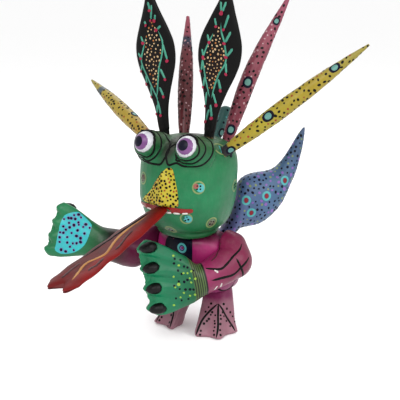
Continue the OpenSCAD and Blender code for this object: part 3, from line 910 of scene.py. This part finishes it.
innerRings = [
    [(0.327, 0.156, 0.966), (0.354, 0.141, 0.941), (0.375, 0.124, 0.89), (0.368, 0.121, 0.838),
     (0.34, 0.116, 0.795), (0.294, 0.109, 0.769), (0.255, 0.093, 0.775)],
    [(0.353, 0.235, 0.95), (0.379, 0.226, 0.924), (0.4, 0.2, 0.873), (0.4, 0.174, 0.825),
     (0.38, 0.146, 0.783), (0.334, 0.138, 0.746), (0.277, 0.144, 0.728), (0.237, 0.129, 0.74)],
    [(0.443, 0.293, 0.893), (0.496, 0.208, 0.858), (0.507, 0.159, 0.815), (0.491, 0.132, 0.773),
     (0.453, 0.113, 0.72), (0.401, 0.115, 0.711), (0.305, 0.134, 0.709), (0.221, 0.155, 0.715)]]
crowns = [(0.735, 0.17, 1.0), (0.74, 0.25, 0.99), (0.74, 0.38, 0.97)]

for side, label in ((1, "leftEyeRings"), (-1, "rightEyeRings")):
    lines = []
    for outer, inner, crown in zip(outerRings, innerRings, crowns):
        if side > 0:
            line = outer + mirrored(inner[:5])[::-1] + [crown]
        else:
            line = mirrored(outer[:8]) + inner[::-1] + mirrored([crown])
        lines.append(spotsOn("head", line + line[:1]))
    strokes(label, "head", [head], lines, eyeSettings["ringLine"], inkBlack, steps=6, sink=0.55, taper=1.0)
print("eyes ready")

# torso

torsoSettings = {"carving": {"voxel": 0.00095, "smoothing": 8, "chisel": 0.0006, "chiselSize": 0.013},
                 "hoop": 0.0047, "middle": 0.0019, "dot": 0.0009}
# magenta with painted shade: darker at the top, where the head overhangs the torso
torsoPaint = fadeMaterial("torsoMagenta", (0, 0, 1),
                          [(38, rgb(150, 72, 112)), (52, rgb(148, 62, 106)), (70, rgb(174, 58, 112)),
                           (86, rgb(178, 60, 118)), (94, rgb(118, 36, 76))], shadeBy=0.66, waver=8,
                          patches=0.7)
torso = carvedCopy("torso", "torso", torsoPaint, **torsoSettings["carving"])

patchPaint = dull(paintMaterial("chestNavy", rgb(28, 26, 62), rgb(18, 16, 44), gloss=0.4, bump=0.25,
                                dust=0.0))
chestOutline = [(0.33, 0.06, 0.97), (0.46, 0.07, 1.0), (0.60, 0.07, 1.0), (0.655, 0.05, 0.93),
                (0.655, 0.031, 0.62), (0.60, 0.02, 0.40), (0.47, 0.02, 0.28), (0.34, 0.03, 0.33),
                (0.27, 0.05, 0.55), (0.272, 0.04, 0.8)]
chest = paintShape(patch, torso, "torso", "chestPatch", spotsOn("torso", chestOutline), patchPaint)
chestMark = spot("torso", (0.531, 0.0, 0.829))
stampAll(wideHoop, chest, "torso", "chestHoop", [(chestMark, torsoSettings["hoop"], 1.0, 0)], aqua,
         lift=0.0002)
stampAll(dab, chest, "torso", "chestMiddle", [(chestMark, torsoSettings["middle"], 1.0, 0)], violet,
         lift=0.0002)
stampAll(dab, chest, "torso", "chestDot",
         [(chestMark + Vector((0.0006, 0, 0.0003)), torsoSettings["dot"], 1.2, 0)], wine, lift=0.0004)
print("torso ready")

# arms and claws

armSettings = {"carving": {"voxel": 0.0008, "smoothing": 4, "chisel": 0.0005, "chiselSize": 0.01},
               "line": 0.0026, "boldLine": 0.0036, "pitShadeLine": 0.0020, "fleck": 0.0017, "halo": 0.00035,
               "leftWay": (-0.68, -0.718, -0.148), "rightWay": (-0.74, -0.597, 0.312)}


def cuffStops():
    # thin dark lines on olive, closed off by a black border at the wrist
    olive, line = rgb(98, 124, 74), rgb(16, 40, 32)
    stops = [(-38.2, rgb(10, 12, 12)), (-36.8, rgb(10, 12, 12)), (-36.7, olive)]
    for k in range(5):
        start = -35.9 + 1.8 * k
        stops += [(start, olive), (start + 0.1, line), (start + 0.9, line), (start + 1.0, olive)]
    return stops


leftArmPaint = fadeMaterial("leftArmPaint", armSettings["leftWay"],
                            [(-80, rgb(134, 56, 82)), (-60, rgb(144, 58, 90)), (-38.3, rgb(158, 62, 104))]
                            + cuffStops() + [(-26.6, rgb(44, 112, 78)), (-10, rgb(46, 132, 96)),
                                             (25, rgb(44, 158, 108))], shadeBy=0.74, waver=0.4, patches=0.6)
rightArmPaint = fadeMaterial("rightArmPaint", armSettings["rightWay"],
                             [(15, rgb(120, 54, 84)), (52, rgb(112, 46, 76)), (66, rgb(76, 34, 48)),
                              (76, rgb(46, 52, 38)), (88, rgb(40, 104, 68)), (104, rgb(40, 132, 90)),
                              (130, rgb(44, 130, 86))], shadeBy=0.74, waver=5, patches=0.6)
armLeft = carvedCopy("arm_left", "arms", leftArmPaint, **armSettings["carving"])
armRight = carvedCopy("arm_right", "arms", rightArmPaint, **armSettings["carving"])


def clawMaterial():
    material, tree, skin, place = startMaterial("clawBlack")
    finishPaint(tree, skin, place, rgb(18, 26, 28), rgb(40, 46, 50), 0.5, 0.5, 0.35, 0.0, 0.2, 0.0)
    return dull(material, 0.2)


clawPaint = clawMaterial()
for node in ("claws_left", "claws_right"):
    carvedCopy(node, "claws", clawPaint, rounding=1, chisel=0.0003, chiselSize=0.005)

armLines = {
    "outer": [(0.862, 0.84, 0.914), (0.914, 0.716, 0.862), (0.891, 0.595, 0.782), (0.858, 0.502, 0.691),
              (0.822, 0.438, 0.645), (0.719, 0.359, 0.658), (0.66, 0.351, 0.672)],
    "middle": [(1.0, 0.80, 0.76), (0.968, 0.659, 0.636), (0.907, 0.571, 0.543), (0.836, 0.437, 0.524),
               (0.755, 0.303, 0.519)],
    "lower": [(0.95, 0.9, 0.22), (0.78, 0.88, 0.15), (0.68, 0.8, 0.12), (0.69, 0.6, 0.2),
              (0.696, 0.416, 0.29), (0.7, 0.31, 0.304)],
    "cross": [(0.909, 0.607, 0.768), (0.947, 0.629, 0.656), (0.948, 0.686, 0.536), (0.906, 0.76, 0.42)]}
strokes("armLines", "arm_left", [armLeft, torso],
        [spotsOn("arm_left", line) for key, line in armLines.items() if key != "middle"],
        armSettings["line"], inkBlack, sink=0.6)
strokes("armStroke", "arm_left", [armLeft, torso], [spotsOn("arm_left", armLines["middle"])],
        armSettings["boldLine"], inkBlack, sink=0.65, taper=0.5)
plum = paintMaterial("plumShade", rgb(84, 30, 54), rgb(60, 20, 38), bump=0.2)
# painted shade: a plum stroke that darkens the crease between the left arm and the torso
pitShadeLine = [(0.673, 0.702, 0.907), (0.671, 0.653, 0.825), (0.718, 0.503, 0.777), (0.688, 0.409, 0.708)]
strokes("armPitShade", "arm_left", [armLeft, torso], [spotsOn("arm_left", pitShadeLine)], armSettings["pitShadeLine"], plum,
        sink=0.7)
fleckLines = [[(0.777, 0.387, 0.64), (0.813, 0.412, 0.611)], [(0.80, 0.413, 0.42), (0.768, 0.403, 0.36)],
              [(0.83, 0.457, 0.449), (0.80, 0.47, 0.375)], [(0.79, 0.40, 0.615), (0.80, 0.42, 0.60)]]
strokes("whiteFlecks", "arm_left", [armLeft, torso], [spotsOn("arm_left", line) for line in fleckLines],
        armSettings["fleck"], milkWhite, sink=0.4, taper=0.5)

handBlack = [(0.397, 0.189, 0.717), (0.452, 0.228, 0.763), (0.447, 0.191, 0.632), (0.499, 0.226, 0.685),
             (0.535, 0.239, 0.675), (0.488, 0.197, 0.593), (0.596, 0.254, 0.642), (0.456, 0.191, 0.488),
             (0.512, 0.21, 0.487), (0.547, 0.22, 0.519), (0.476, 0.177, 0.394), (0.533, 0.202, 0.391),
             (0.579, 0.22, 0.398), (0.615, 0.233, 0.399), (0.43, 0.173, 0.257), (0.489, 0.192, 0.236),
             (0.555, 0.225, 0.258), (0.42, 0.158, 0.43), (0.401, 0.196, 0.777)]
handLime = [(0.379, 0.204, 0.811), (0.445, 0.207, 0.694), (0.41, 0.161, 0.551), (0.505, 0.207, 0.604),
            (0.545, 0.224, 0.607), (0.579, 0.246, 0.632), (0.574, 0.224, 0.545), (0.588, 0.231, 0.49),
            (0.458, 0.184, 0.449), (0.433, 0.157, 0.415), (0.512, 0.203, 0.34), (0.475, 0.194, 0.274),
            (0.571, 0.232, 0.304), (0.422, 0.146, 0.168), (0.634, 0.238, 0.547), (0.623, 0.25, 0.324)]
stampAll(dab, armLeft, "arm_left", "handBlack", dabs(spotsOn("arm_left", handBlack), 0.0009, 0.0013, 1.2),
         inkNavy)
stampAll(dab, armLeft, "arm_left", "handLime", dabs(spotsOn("arm_left", handLime), 0.0008, 0.0015, 1.3), lime)

palmPaint = paintMaterial("palmAqua", rgb(70, 200, 205), rgb(78, 178, 192), patches=0.6, bump=0.3)
palmOutline = [(0.205, 0.079, 0.699), (0.225, 0.119, 0.818), (0.279, 0.146, 0.865), (0.333, 0.204, 0.872),
               (0.374, 0.229, 0.83), (0.472, 0.25, 0.711), (0.496, 0.223, 0.632), (0.473, 0.184, 0.477),
               (0.423, 0.163, 0.379), (0.336, 0.134, 0.3), (0.226, 0.083, 0.272), (0.161, 0.039, 0.337),
               (0.177, 0.052, 0.467), (0.182, 0.073, 0.578)]
paintShape(patch, armRight, "arm_right", "palmPatch", spotsOn("arm_right", palmOutline), palmPaint,
           lift=0.0002)
palmDots = [(0.232, 0.116, 0.779), (0.275, 0.138, 0.797), (0.301, 0.15, 0.795), (0.285, 0.132, 0.728),
            (0.239, 0.095, 0.682), (0.331, 0.153, 0.696), (0.298, 0.125, 0.668), (0.369, 0.18, 0.735),
            (0.378, 0.207, 0.797), (0.352, 0.201, 0.836), (0.374, 0.179, 0.701), (0.418, 0.196, 0.671),
            (0.438, 0.213, 0.705), (0.482, 0.223, 0.659), (0.262, 0.107, 0.635), (0.201, 0.084, 0.59),
            (0.234, 0.097, 0.586), (0.314, 0.133, 0.586), (0.373, 0.16, 0.625), (0.444, 0.185, 0.583),
            (0.208, 0.068, 0.524), (0.276, 0.107, 0.525), (0.362, 0.153, 0.543), (0.405, 0.167, 0.513),
            (0.207, 0.066, 0.458), (0.28, 0.1, 0.449), (0.333, 0.126, 0.437), (0.37, 0.142, 0.44),
            (0.41, 0.159, 0.459), (0.301, 0.115, 0.386), (0.218, 0.07, 0.34), (0.259, 0.092, 0.315),
            (0.336, 0.131, 0.335), (0.321, 0.17, 0.835), (0.338, 0.168, 0.784)]
palmSpots = dabs(spotsOn("arm_right", palmDots), 0.0008, 0.0013, 1.2)
stampAll(dab, armRight, "arm_right", "palmHalos",
         [(p, r + armSettings["halo"], s, t) for p, r, s, t in palmSpots], violet, lift=0.0005)
stampAll(dab, armRight, "arm_right", "palmDots", palmSpots, inkNavy, lift=0.0007)
print("arms ready")

# legs

legSettings = {"carving": {"voxel": 0.0008, "smoothing": 2, "chisel": 0.0003, "chiselSize": 0.008},
               "webLine": 0.0026}
legPaint = fadeMaterial("legMauve", (0, 0, 1),
                        [(0, rgb(176, 126, 140)), (14, rgb(160, 112, 126)), (28, rgb(164, 110, 128)),
                         (33, rgb(144, 60, 102)), (50, rgb(142, 58, 100))], shadeBy=0.72, waver=6,
                        patches=0.7)
legs = {}
for node in ("leg_left", "leg_right"):
    legs[node] = carvedCopy(node, "legs", legPaint, **legSettings["carving"])
webLines = [[(0.593, 0.41, 0.747), (0.503, 0.32, 0.637), (0.412, 0.231, 0.499), (0.354, 0.136, 0.347),
             (0.335, 0.041, 0.18), (0.318, 0.03, 0.03)],
            [(0.593, 0.41, 0.747), (0.666, 0.306, 0.525), (0.747, 0.19, 0.289), (0.784, 0.088, 0.05)],
            [(0.593, 0.41, 0.747), (0.748, 0.416, 0.543), (0.868, 0.47, 0.307), (0.985, 0.5, 0.075)]]
webDots = [(0.446, 0.359, 0.736), (0.414, 0.314, 0.658), (0.378, 0.258, 0.557), (0.527, 0.288, 0.566),
           (0.512, 0.257, 0.512), (0.496, 0.209, 0.426), (0.466, 0.18, 0.38), (0.424, 0.141, 0.323),
           (0.411, 0.056, 0.178), (0.417, 0.022, 0.092), (0.612, 0.28, 0.512), (0.63, 0.223, 0.4),
           (0.652, 0.201, 0.351), (0.668, 0.166, 0.281), (0.671, 0.128, 0.209), (0.704, 0.093, 0.131),
           (0.715, 0.329, 0.513), (0.745, 0.303, 0.441), (0.777, 0.254, 0.342), (0.817, 0.195, 0.231),
           (0.859, 0.157, 0.138), (0.727, 0.391, 0.564), (0.77, 0.387, 0.471), (0.83, 0.414, 0.352),
           (0.901, 0.444, 0.221), (0.684, 0.472, 0.726), (0.752, 0.499, 0.609), (0.808, 0.551, 0.504),
           (0.861, 0.57, 0.4), (0.919, 0.583, 0.274)]
webInk = dull(paintMaterial("webInk", rgb(52, 18, 28), rgb(34, 14, 22), bump=0.15, dust=0.0))
for node in ("leg_left", "leg_right"):
    # the right foot mirrors the left one
    side = list if node == "leg_left" else mirrored
    strokes(node + "Webs", node, [legs[node]], [spotsOn(node, side(line)) for line in webLines],
            legSettings["webLine"], inkBlack, steps=6, sink=0.6, taper=0.6)
    stampAll(dab, legs[node], node, node + "Dots", dabs(spotsOn(node, side(webDots)), 0.0009, 0.0013), webInk)
print("legs ready")

# tail

tailSettings = {"carving": {"voxel": 0.0009, "smoothing": 5, "chisel": 0.0005, "chiselSize": 0.012},
                "rings": [(21.1, 38.3), (43.4, 40.2), (27.9, 23.6), (65.0, 53.9)], "size": 0.0046,
                "ringGap": 0.0062, "dots": 430, "gap": 0.0032, "navy": 270, "violet": 90}
tailPlug = plugs["tail"]
tailRoot = tailPlug["start"] + tailPlug["way"] * tailPlug["depth"]
tailSide = tailPlug["way"].cross(Vector((0, 0, 1))).normalized()
tailStart = tailRoot.dot(tailPlug["way"]) * 1000
tailPaint = fadeMaterial("tailBlue", tailPlug["way"], [
    (tailStart, rgb(118, 112, 162)), (tailStart + 24, rgb(94, 118, 160)), (tailStart + 60, rgb(84, 116, 150)),
    (tailStart + 90, rgb(82, 102, 136))], shadeBy=0.74, waver=12, patches=0.7)
tail = carvedCopy("tail", "tail", tailPaint, **tailSettings["carving"])


def tailSpot(along, up, side):
    return tailRoot + tailPlug["way"] * (along / 1000) + Vector((0, 0, up / 1000)) + tailSide * side * 0.02


tailRings = [tailSpot(a, u, s) for s in (1, -1) for a, u in tailSettings["rings"]]
stampAll(wideHoop, tail, "tail", "tailHoops", [(p, tailSettings["size"], 1.0, 0) for p in tailRings], aqua)
stampAll(dab, tail, "tail", "tailMiddles", [(p, tailSettings["size"] * 0.55, 0.75, 0) for p in tailRings],
         wine, lift=0.0003)


def tailFree(point, normal):
    if nearPlug(point, 0.004, -0.003):
        return False
    return all((nearest([tail], p)[0] - point).length > tailSettings["ringGap"] for p in tailRings)


tailDots = scatter(tail, tailSettings["dots"], tailSettings["gap"], tailFree)
navyEnd = tailSettings["navy"]
violetEnd = navyEnd + tailSettings["violet"]
stampAll(dab, tail, "tail", "tailNavy", dabs(tailDots[:navyEnd], 0.0008, 0.0015, 1.4), inkNavy)
stampAll(dab, tail, "tail", "tailViolet", dabs(tailDots[navyEnd:violetEnd], 0.0009, 0.0017, 1.4), violet)
stampAll(dab, tail, "tail", "tailCream", dabs(tailDots[violetEnd:], 0.0008, 0.0013, 1.3), ringCream)
print("tail ready")

# tongue

tongueSettings = {"carving": {"rounding": 1, "chisel": 0.0005, "chiselSize": 0.009},
                  "goldLine": 0.0031, "rimLine": 0.0032, "shadeLine": 0.0030}
tonguePlug = plugs["tongue"]
tongueRoot = tonguePlug["start"] + tonguePlug["way"] * tonguePlug["depth"]
tongueUp = tonguePlug["way"].cross(Vector((1, 0, 0))).normalized()


def tongueMaterial():
    # crimson near side, brown far side, crimson again at the forked end
    material, tree, skin, place = startMaterial("tongueRed")
    across = placeGroup(tree, alongGroup, Vector=place, Direction=(1.0, 0.0, 0.0), Waver=3.0)
    along = placeGroup(tree, alongGroup, Vector=place, Direction=tuple(tonguePlug["way"]),
                       Offset=tongueRoot.dot(tonguePlug["way"]) * 1000, Waver=14.0)
    paint = rampNode(tree, across.outputs["Value"], [
        (-15, rgb(96, 34, 34)), (-7, rgb(112, 40, 38)), (-1, rgb(104, 36, 36)), (2.5, rgb(112, 18, 36)),
        (6, rgb(140, 14, 40)), (15, rgb(146, 16, 44))])
    tip = rangeNode(tree, along.outputs["Value"], 112, 132)
    paint = mixNode(tree, tip, paint, rgb(134, 20, 40))
    shade = mixNode(tree, 1.0, paint, (0.62, 0.56, 0.6, 1), "MULTIPLY")
    finishPaint(tree, skin, place, paint, shade, 0.75, 0.3, 0.4, 0.0, 0.35, 0.0)
    return dull(material, 0.18)


tongue = carvedCopy("tongue", "tongue", tongueMaterial(), **tongueSettings["carving"])


def tongueSpot(across, along):
    return tongueRoot + tonguePlug["way"] * (along / 1000) + Vector((across / 1000, 0, 0)) + tongueUp * 0.006


tongueLine = [(0.5, 3), (-1.5, 22), (-2.7, 49.2), (0.0, 66.5), (5.0, 83.2), (3.3, 91.9), (-0.2, 102.1),
              (1.7, 113.7), (5.4, 125.4), (7.6, 133.0)]
strokes("tongueGold", "tongue", [tongue], [[tongueSpot(*p) for p in tongueLine]],
        tongueSettings["goldLine"], goldLine, sink=0.66)
edgeBrown = dull(paintMaterial("tongueEdge", rgb(40, 20, 20), rgb(58, 28, 26), bump=0.2, dust=0.0))
tongueRims = [[(-2.5, 2), (-4.2, 22), (-5.8, 45), (-6.6, 60), (-8.6, 85), (-10.4, 105)]]
strokes("tongueRim", "tongue", [tongue], [[tongueSpot(*p) for p in line] for line in tongueRims],
        tongueSettings["rimLine"], edgeBrown, sink=0.65, taper=0.2)
tongueShades = [[(7.0, 86), (8.6, 94), (9.6, 101), (8.2, 107), (10.5, 113)],
                [(2.0, 40), (4.5, 56), (8.2, 70), (8.6, 80)], [(-5.0, 100), (-4.6, 116), (-3.2, 128)]]
strokes("tongueShade", "tongue", [tongue], [[tongueSpot(*p) for p in line] for line in tongueShades],
        tongueSettings["shadeLine"], plum, sink=0.7, taper=0.15)
print("tongue ready")

# ears

earSettings = {"carving": {"rounding": 2, "chisel": 0.0004, "chiselSize": 0.012}, "reach": 0.008,
               "lensWidening": 1.18, "lensDots": 62, "creamDots": 50, "gap": 0.0026,
               "stemLine": 0.0021, "twigLine": 0.0031}
earPaint = dull(paintMaterial("earBlack", rgb(16, 16, 18), rgb(30, 22, 26), patches=0.6, streaks=0.5,
                              gloss=0.42, bump=0.3, dust=0.0), 0.12)
lensPaint = dull(paintMaterial("lensBrown", rgb(44, 22, 18), rgb(62, 28, 22), patches=0.6, bump=0.25,
                               dust=0.0), 0.15)
earDesign = {
    "ear_right": {
        "lens": [(0.4, 118.9), (-5.5, 108.5), (-8.7, 96.7), (-9.9, 86.6), (-7.8, 74.1), (-3.3, 60.4),
                 (2.3, 73.4), (5.8, 87.4), (7.1, 99.3), (4.9, 110.5)],
        "stems": [[(-5.0, 111.5), (-10.7, 98.9), (-15.3, 89.0), (-15.7, 81.9), (-6.9, 61.7), (-1.9, 52.1),
                   (-2.4, 46)],
                  [(4.5, 116.5), (10.6, 102.0), (8.5, 89.2), (3.5, 77.4), (-0.2, 59.2), (-2.6, 51.1)]],
        "twigs": [[(-13.8, 108.3), (-10.9, 101.4)], [(-20.0, 93.6), (-16.1, 88.1)],
                  [(-16.2, 82.9), (-19.3, 76.0)], [(-12.4, 73.4), (-15.2, 64.3)],
                  [(-7.9, 63.8), (-11.0, 52.6)], [(10.7, 100.0), (13.7, 83.7)], [(4.9, 78.3), (9.8, 67.8)],
                  [(2.1, 62.2), (6.5, 52.7)], [(-2.0, 51.0), (1.1, 36.3)], [(-2.6, 46.9), (-6.0, 37.7)],
                  [(-1.4, 136.9), (0.6, 128.8)], [(3.2, 134.4), (0.6, 119.9)], [(6.3, 125.2), (4.7, 119.5)],
                  [(10.8, 115.4), (5.7, 111.4)], [(-8.1, 120.8), (-5.6, 116.5)]]},
    "ear_left": {
        "lens": [(-2.7, 113.4), (-8.5, 99.0), (-12.0, 87.7), (-11.5, 79.9), (-7.4, 67.8), (-2.5, 58.7),
                 (0.5, 69.3), (5.6, 85.1), (4.9, 94.6), (0.8, 105.4)],
        "stems": [[(-5.0, 112.1), (-10.8, 98.6), (-15.2, 85.1), (-13.0, 75.6), (-6.9, 60.8), (-0.6, 50.0)],
                  [(-1.9, 123.0), (0.6, 110.2), (5.4, 100.5), (8.9, 85.7), (3.3, 73.8), (0.3, 59.3),
                   (-0.9, 48.0)]],
        "twigs": [[(-8.8, 120.0), (-5.1, 113.0)], [(-14.1, 105.8), (-9.9, 98.8)],
                  [(-18.0, 92.5), (-14.6, 85.2)], [(-15.0, 84.2), (-16.9, 72.9)],
                  [(-10.6, 70.1), (-13.2, 59.5)], [(-7.1, 57.8), (-8.8, 44.1)],
                  [(6.1, 125.2), (3.0, 111.5)], [(10.4, 111.8), (5.4, 100.5)], [(14.2, 98.2), (8.8, 89.5)],
                  [(8.9, 85.7), (11.0, 75.4)], [(3.2, 70.9), (8.1, 60.9)], [(-0.1, 58.2), (6.3, 47.7)],
                  [(-0.9, 48.0), (3.4, 35.8)], [(-1.5, 43.8), (-5.0, 31.5)], [(-5.6, 134.6), (-1.5, 124.0)],
                  [(1.8, 134.8), (-1.1, 125.0)]]}}


def addEar(node, design):
    ear = carvedCopy(node, "ears", earPaint, **earSettings["carving"])
    plug = plugs[node]
    front = Vector((0, -1, 0))
    front = (front - plug["way"] * front.dot(plug["way"])).normalized()
    side = plug["way"].cross(front)
    if side.x < 0:
        side = -side
    middle = sum(u for u, v in design["lens"]) / len(design["lens"])
    cut = earSettings["creamDots"]
    for face, label in ((1, "Front"), (-1, "Back")):
        def at(across, along):
            reach = front * face * earSettings["reach"]
            return plug["start"] + side * (across / 1000) + plug["way"] * (along / 1000) + reach
        outline = [at(middle + (u - middle) * earSettings["lensWidening"], v) for u, v in design["lens"]]
        lens = paintShape(patch, ear, node, node + "Lens" + label, outline, lensPaint)
        spots = scatter(lens, earSettings["lensDots"], earSettings["gap"], outerSide(ear))
        stampAll(dab, lens, node, node + "Cream" + label, dabs(spots[:cut], 0.00055, 0.00095, 1.3), cream,
                 lift=0.0002)
        if len(spots) > cut:
            stampAll(dab, lens, node, node + "Amber" + label, dabs(spots[cut:], 0.0006, 0.001, 1.3), amber,
                     lift=0.0002)
        strokes(node + "Stems" + label, node, [ear], [[at(*p) for p in line] for line in design["stems"]],
                earSettings["stemLine"], mint, sink=0.6)
        strokes(node + "Twigs" + label, node, [ear], [[at(*p) for p in line] for line in design["twigs"]],
                earSettings["twigLine"], mint, sink=0.7, taper=0.5)
        tips = [at(*line[1]) for line in design["twigs"]]
        stampAll(dab, ear, node, node + "Tips" + label, dabs(tips, 0.0011, 0.0015, 1.4), rose, lift=0.0010)


for node, design in earDesign.items():
    addEar(node, design)
print("ears ready")

# spines

spineCarving = {"rounding": 1, "chisel": 0.0005, "chiselSize": 0.012, "bareShort": 0.006}
spineSettings = {
    "yellow_spine_left": {"rings": [(66.8, -9, 4.0), (133.9, -15, 3.6), (23.5, 40, 3.2), (100, 150, 3.6),
                                    (45, 190, 3.6)],
                          "dots": 190, "gap": 0.0031},
    "yellow_spine_right": {"rings": [(56.0, 96, 3.2), (90, 250, 3.4), (40, 200, 3.4)], "dots": 160,
                           "gap": 0.0032},
    "pink_spine_left": {"bow": 0.0042,
                        "rings": [(75.8, 3, 3.9), (136.7, 15, 2.8), (31.0, 20, 3.6), (105, 150, 3.6),
                                  (55, 200, 3.6)],
                        "dots": 190, "gap": 0.0032},
    "pink_spine_right": {"rings": [(75, 200, 3.8), (110, 120, 3.0)], "dots": 180, "gap": 0.0032},
    "back_spine": {"rings": [(29.7, 75, 3.2), (40, 220, 3.2)], "dots": 26, "gap": 0.004}}


def spineMaterial(name, node, stops, shadeBy):
    plug = plugs[node]
    start = plug["start"].dot(plug["way"]) * 1000
    return fadeMaterial(name, plug["way"], [(start + s, colour) for s, colour in stops], shadeBy=shadeBy,
                        waver=1.5, patches=0.6)


navyKnot = rgb(20, 24, 52)
roseTone, slate = rgb(152, 80, 94), rgb(66, 66, 82)
spinePaints = {
    "yellow_spine_left": spineMaterial("nearYellow", "yellow_spine_left",
                                       [(0, navyKnot), (23.5, navyKnot), (24.5, rgb(170, 150, 60)),
                                        (60, rgb(178, 162, 60)), (110, rgb(176, 154, 58)),
                                        (150, rgb(160, 148, 72))], 0.82),
    "yellow_spine_right": spineMaterial("farYellow", "yellow_spine_right",
                                        [(0, rgb(176, 140, 66)), (60, rgb(182, 156, 66)),
                                         (110, rgb(184, 162, 66)), (113, rgb(88, 100, 104)),
                                         (119, rgb(88, 100, 104)), (122, rgb(180, 164, 74)),
                                         (142, rgb(160, 150, 84))], 0.8),
    "pink_spine_left": spineMaterial("pinkPaint", "pink_spine_left",
                                     [(0, rgb(126, 60, 70)), (60, rgb(144, 72, 86)),
                                      (110, rgb(152, 80, 94)), (166, rgb(160, 82, 104))], 0.78),
    "pink_spine_right": spineMaterial("farPinkPaint", "pink_spine_right",
                                      [(0, rgb(112, 56, 60)), (60, rgb(98, 50, 54)),
                                       (108, rgb(120, 64, 70)), (117, slate), (122, slate), (126, roseTone),
                                       (147, rgb(164, 84, 100))], 0.8),
    "back_spine": paintMaterial("backTeal", rgb(78, 122, 118), rgb(52, 88, 88), patches=0.7)}
blush = paintMaterial("blushFlecks", rgb(206, 168, 172), rgb(178, 130, 138), bump=0.15)
spineDots = {"yellow": (inkBlack, rust), "pink": (webInk, blush), "back": (inkNavy, aqua)}


def addSpine(node, settings):
    spine = carvedCopy(node, frameSlot(node), spinePaints[node], **spineCarving)
    plug = plugs[node]
    front = Vector((0, -1, 0))
    front = (front - plug["way"] * front.dot(plug["way"])).normalized()
    side = plug["way"].cross(front)
    if "bow" in settings:
        # a slight natural bend, none at the tenon and none at the tip
        length = max((v.co - plug["start"]).dot(plug["way"]) for v in spine.data.vertices)
        for vertex in spine.data.vertices:
            share = ((vertex.co - plug["start"]).dot(plug["way"]) - plug["depth"]) / (length - plug["depth"])
            if share > 0:
                vertex.co -= Vector((0.85, 0.53, 0)) * settings["bow"] * math.sin(math.pi * share) ** 1.5
    marks = []
    for along, turn, size in settings["rings"]:
        angle = math.radians(turn)
        out = (front * math.cos(angle) + side * math.sin(angle)) * 0.009
        point = plug["start"] + plug["way"] * (along / 1000) + out
        marks.append((nearest([spine], point)[0], size / 1000))
    stampAll(wideHoop, spine, node, node + "Hoops", [(p, r * 1.36, 1.0, 0) for p, r in marks], inkNavy,
             lift=0.00024)
    stampAll(patch, spine, node, node + "Middles", [(p, r, 1.0, 0) for p, r in marks], greyTeal)

    def free(point, normal):
        along = (point - plug["start"]).dot(plug["way"])
        return along > plug["depth"] + 0.003 and all((p - point).length > r + 0.0018 for p, r in marks)
    spots = scatter(spine, settings["dots"], settings["gap"], free)
    cut = int(len(spots) * (0.8 if "yellow" in node else 0.6))
    first, second = spineDots[node.split("_")[0]]
    stampAll(dab, spine, node, node + "Dots", dabs(spots[:cut], 0.0008, 0.0013, 1.6), first)
    stampAll(dab, spine, node, node + "Flecks", dabs(spots[cut:], 0.0006, 0.0011, 1.4), second)


for node, settings in spineSettings.items():
    addSpine(node, settings)
print("spines ready")

# hidden pegs, spare models and the finish

for node in ("neck_dowel", "arm_peg_left", "arm_peg_right", "leg_peg_left", "leg_peg_right"):
    peg = frame["nodes"][node]
    peg.data.materials.clear()
    peg.data.materials.append(bareCopal)

for model in (dab, patch, hoop, wideHoop):
    bpy.data.objects.remove(model)
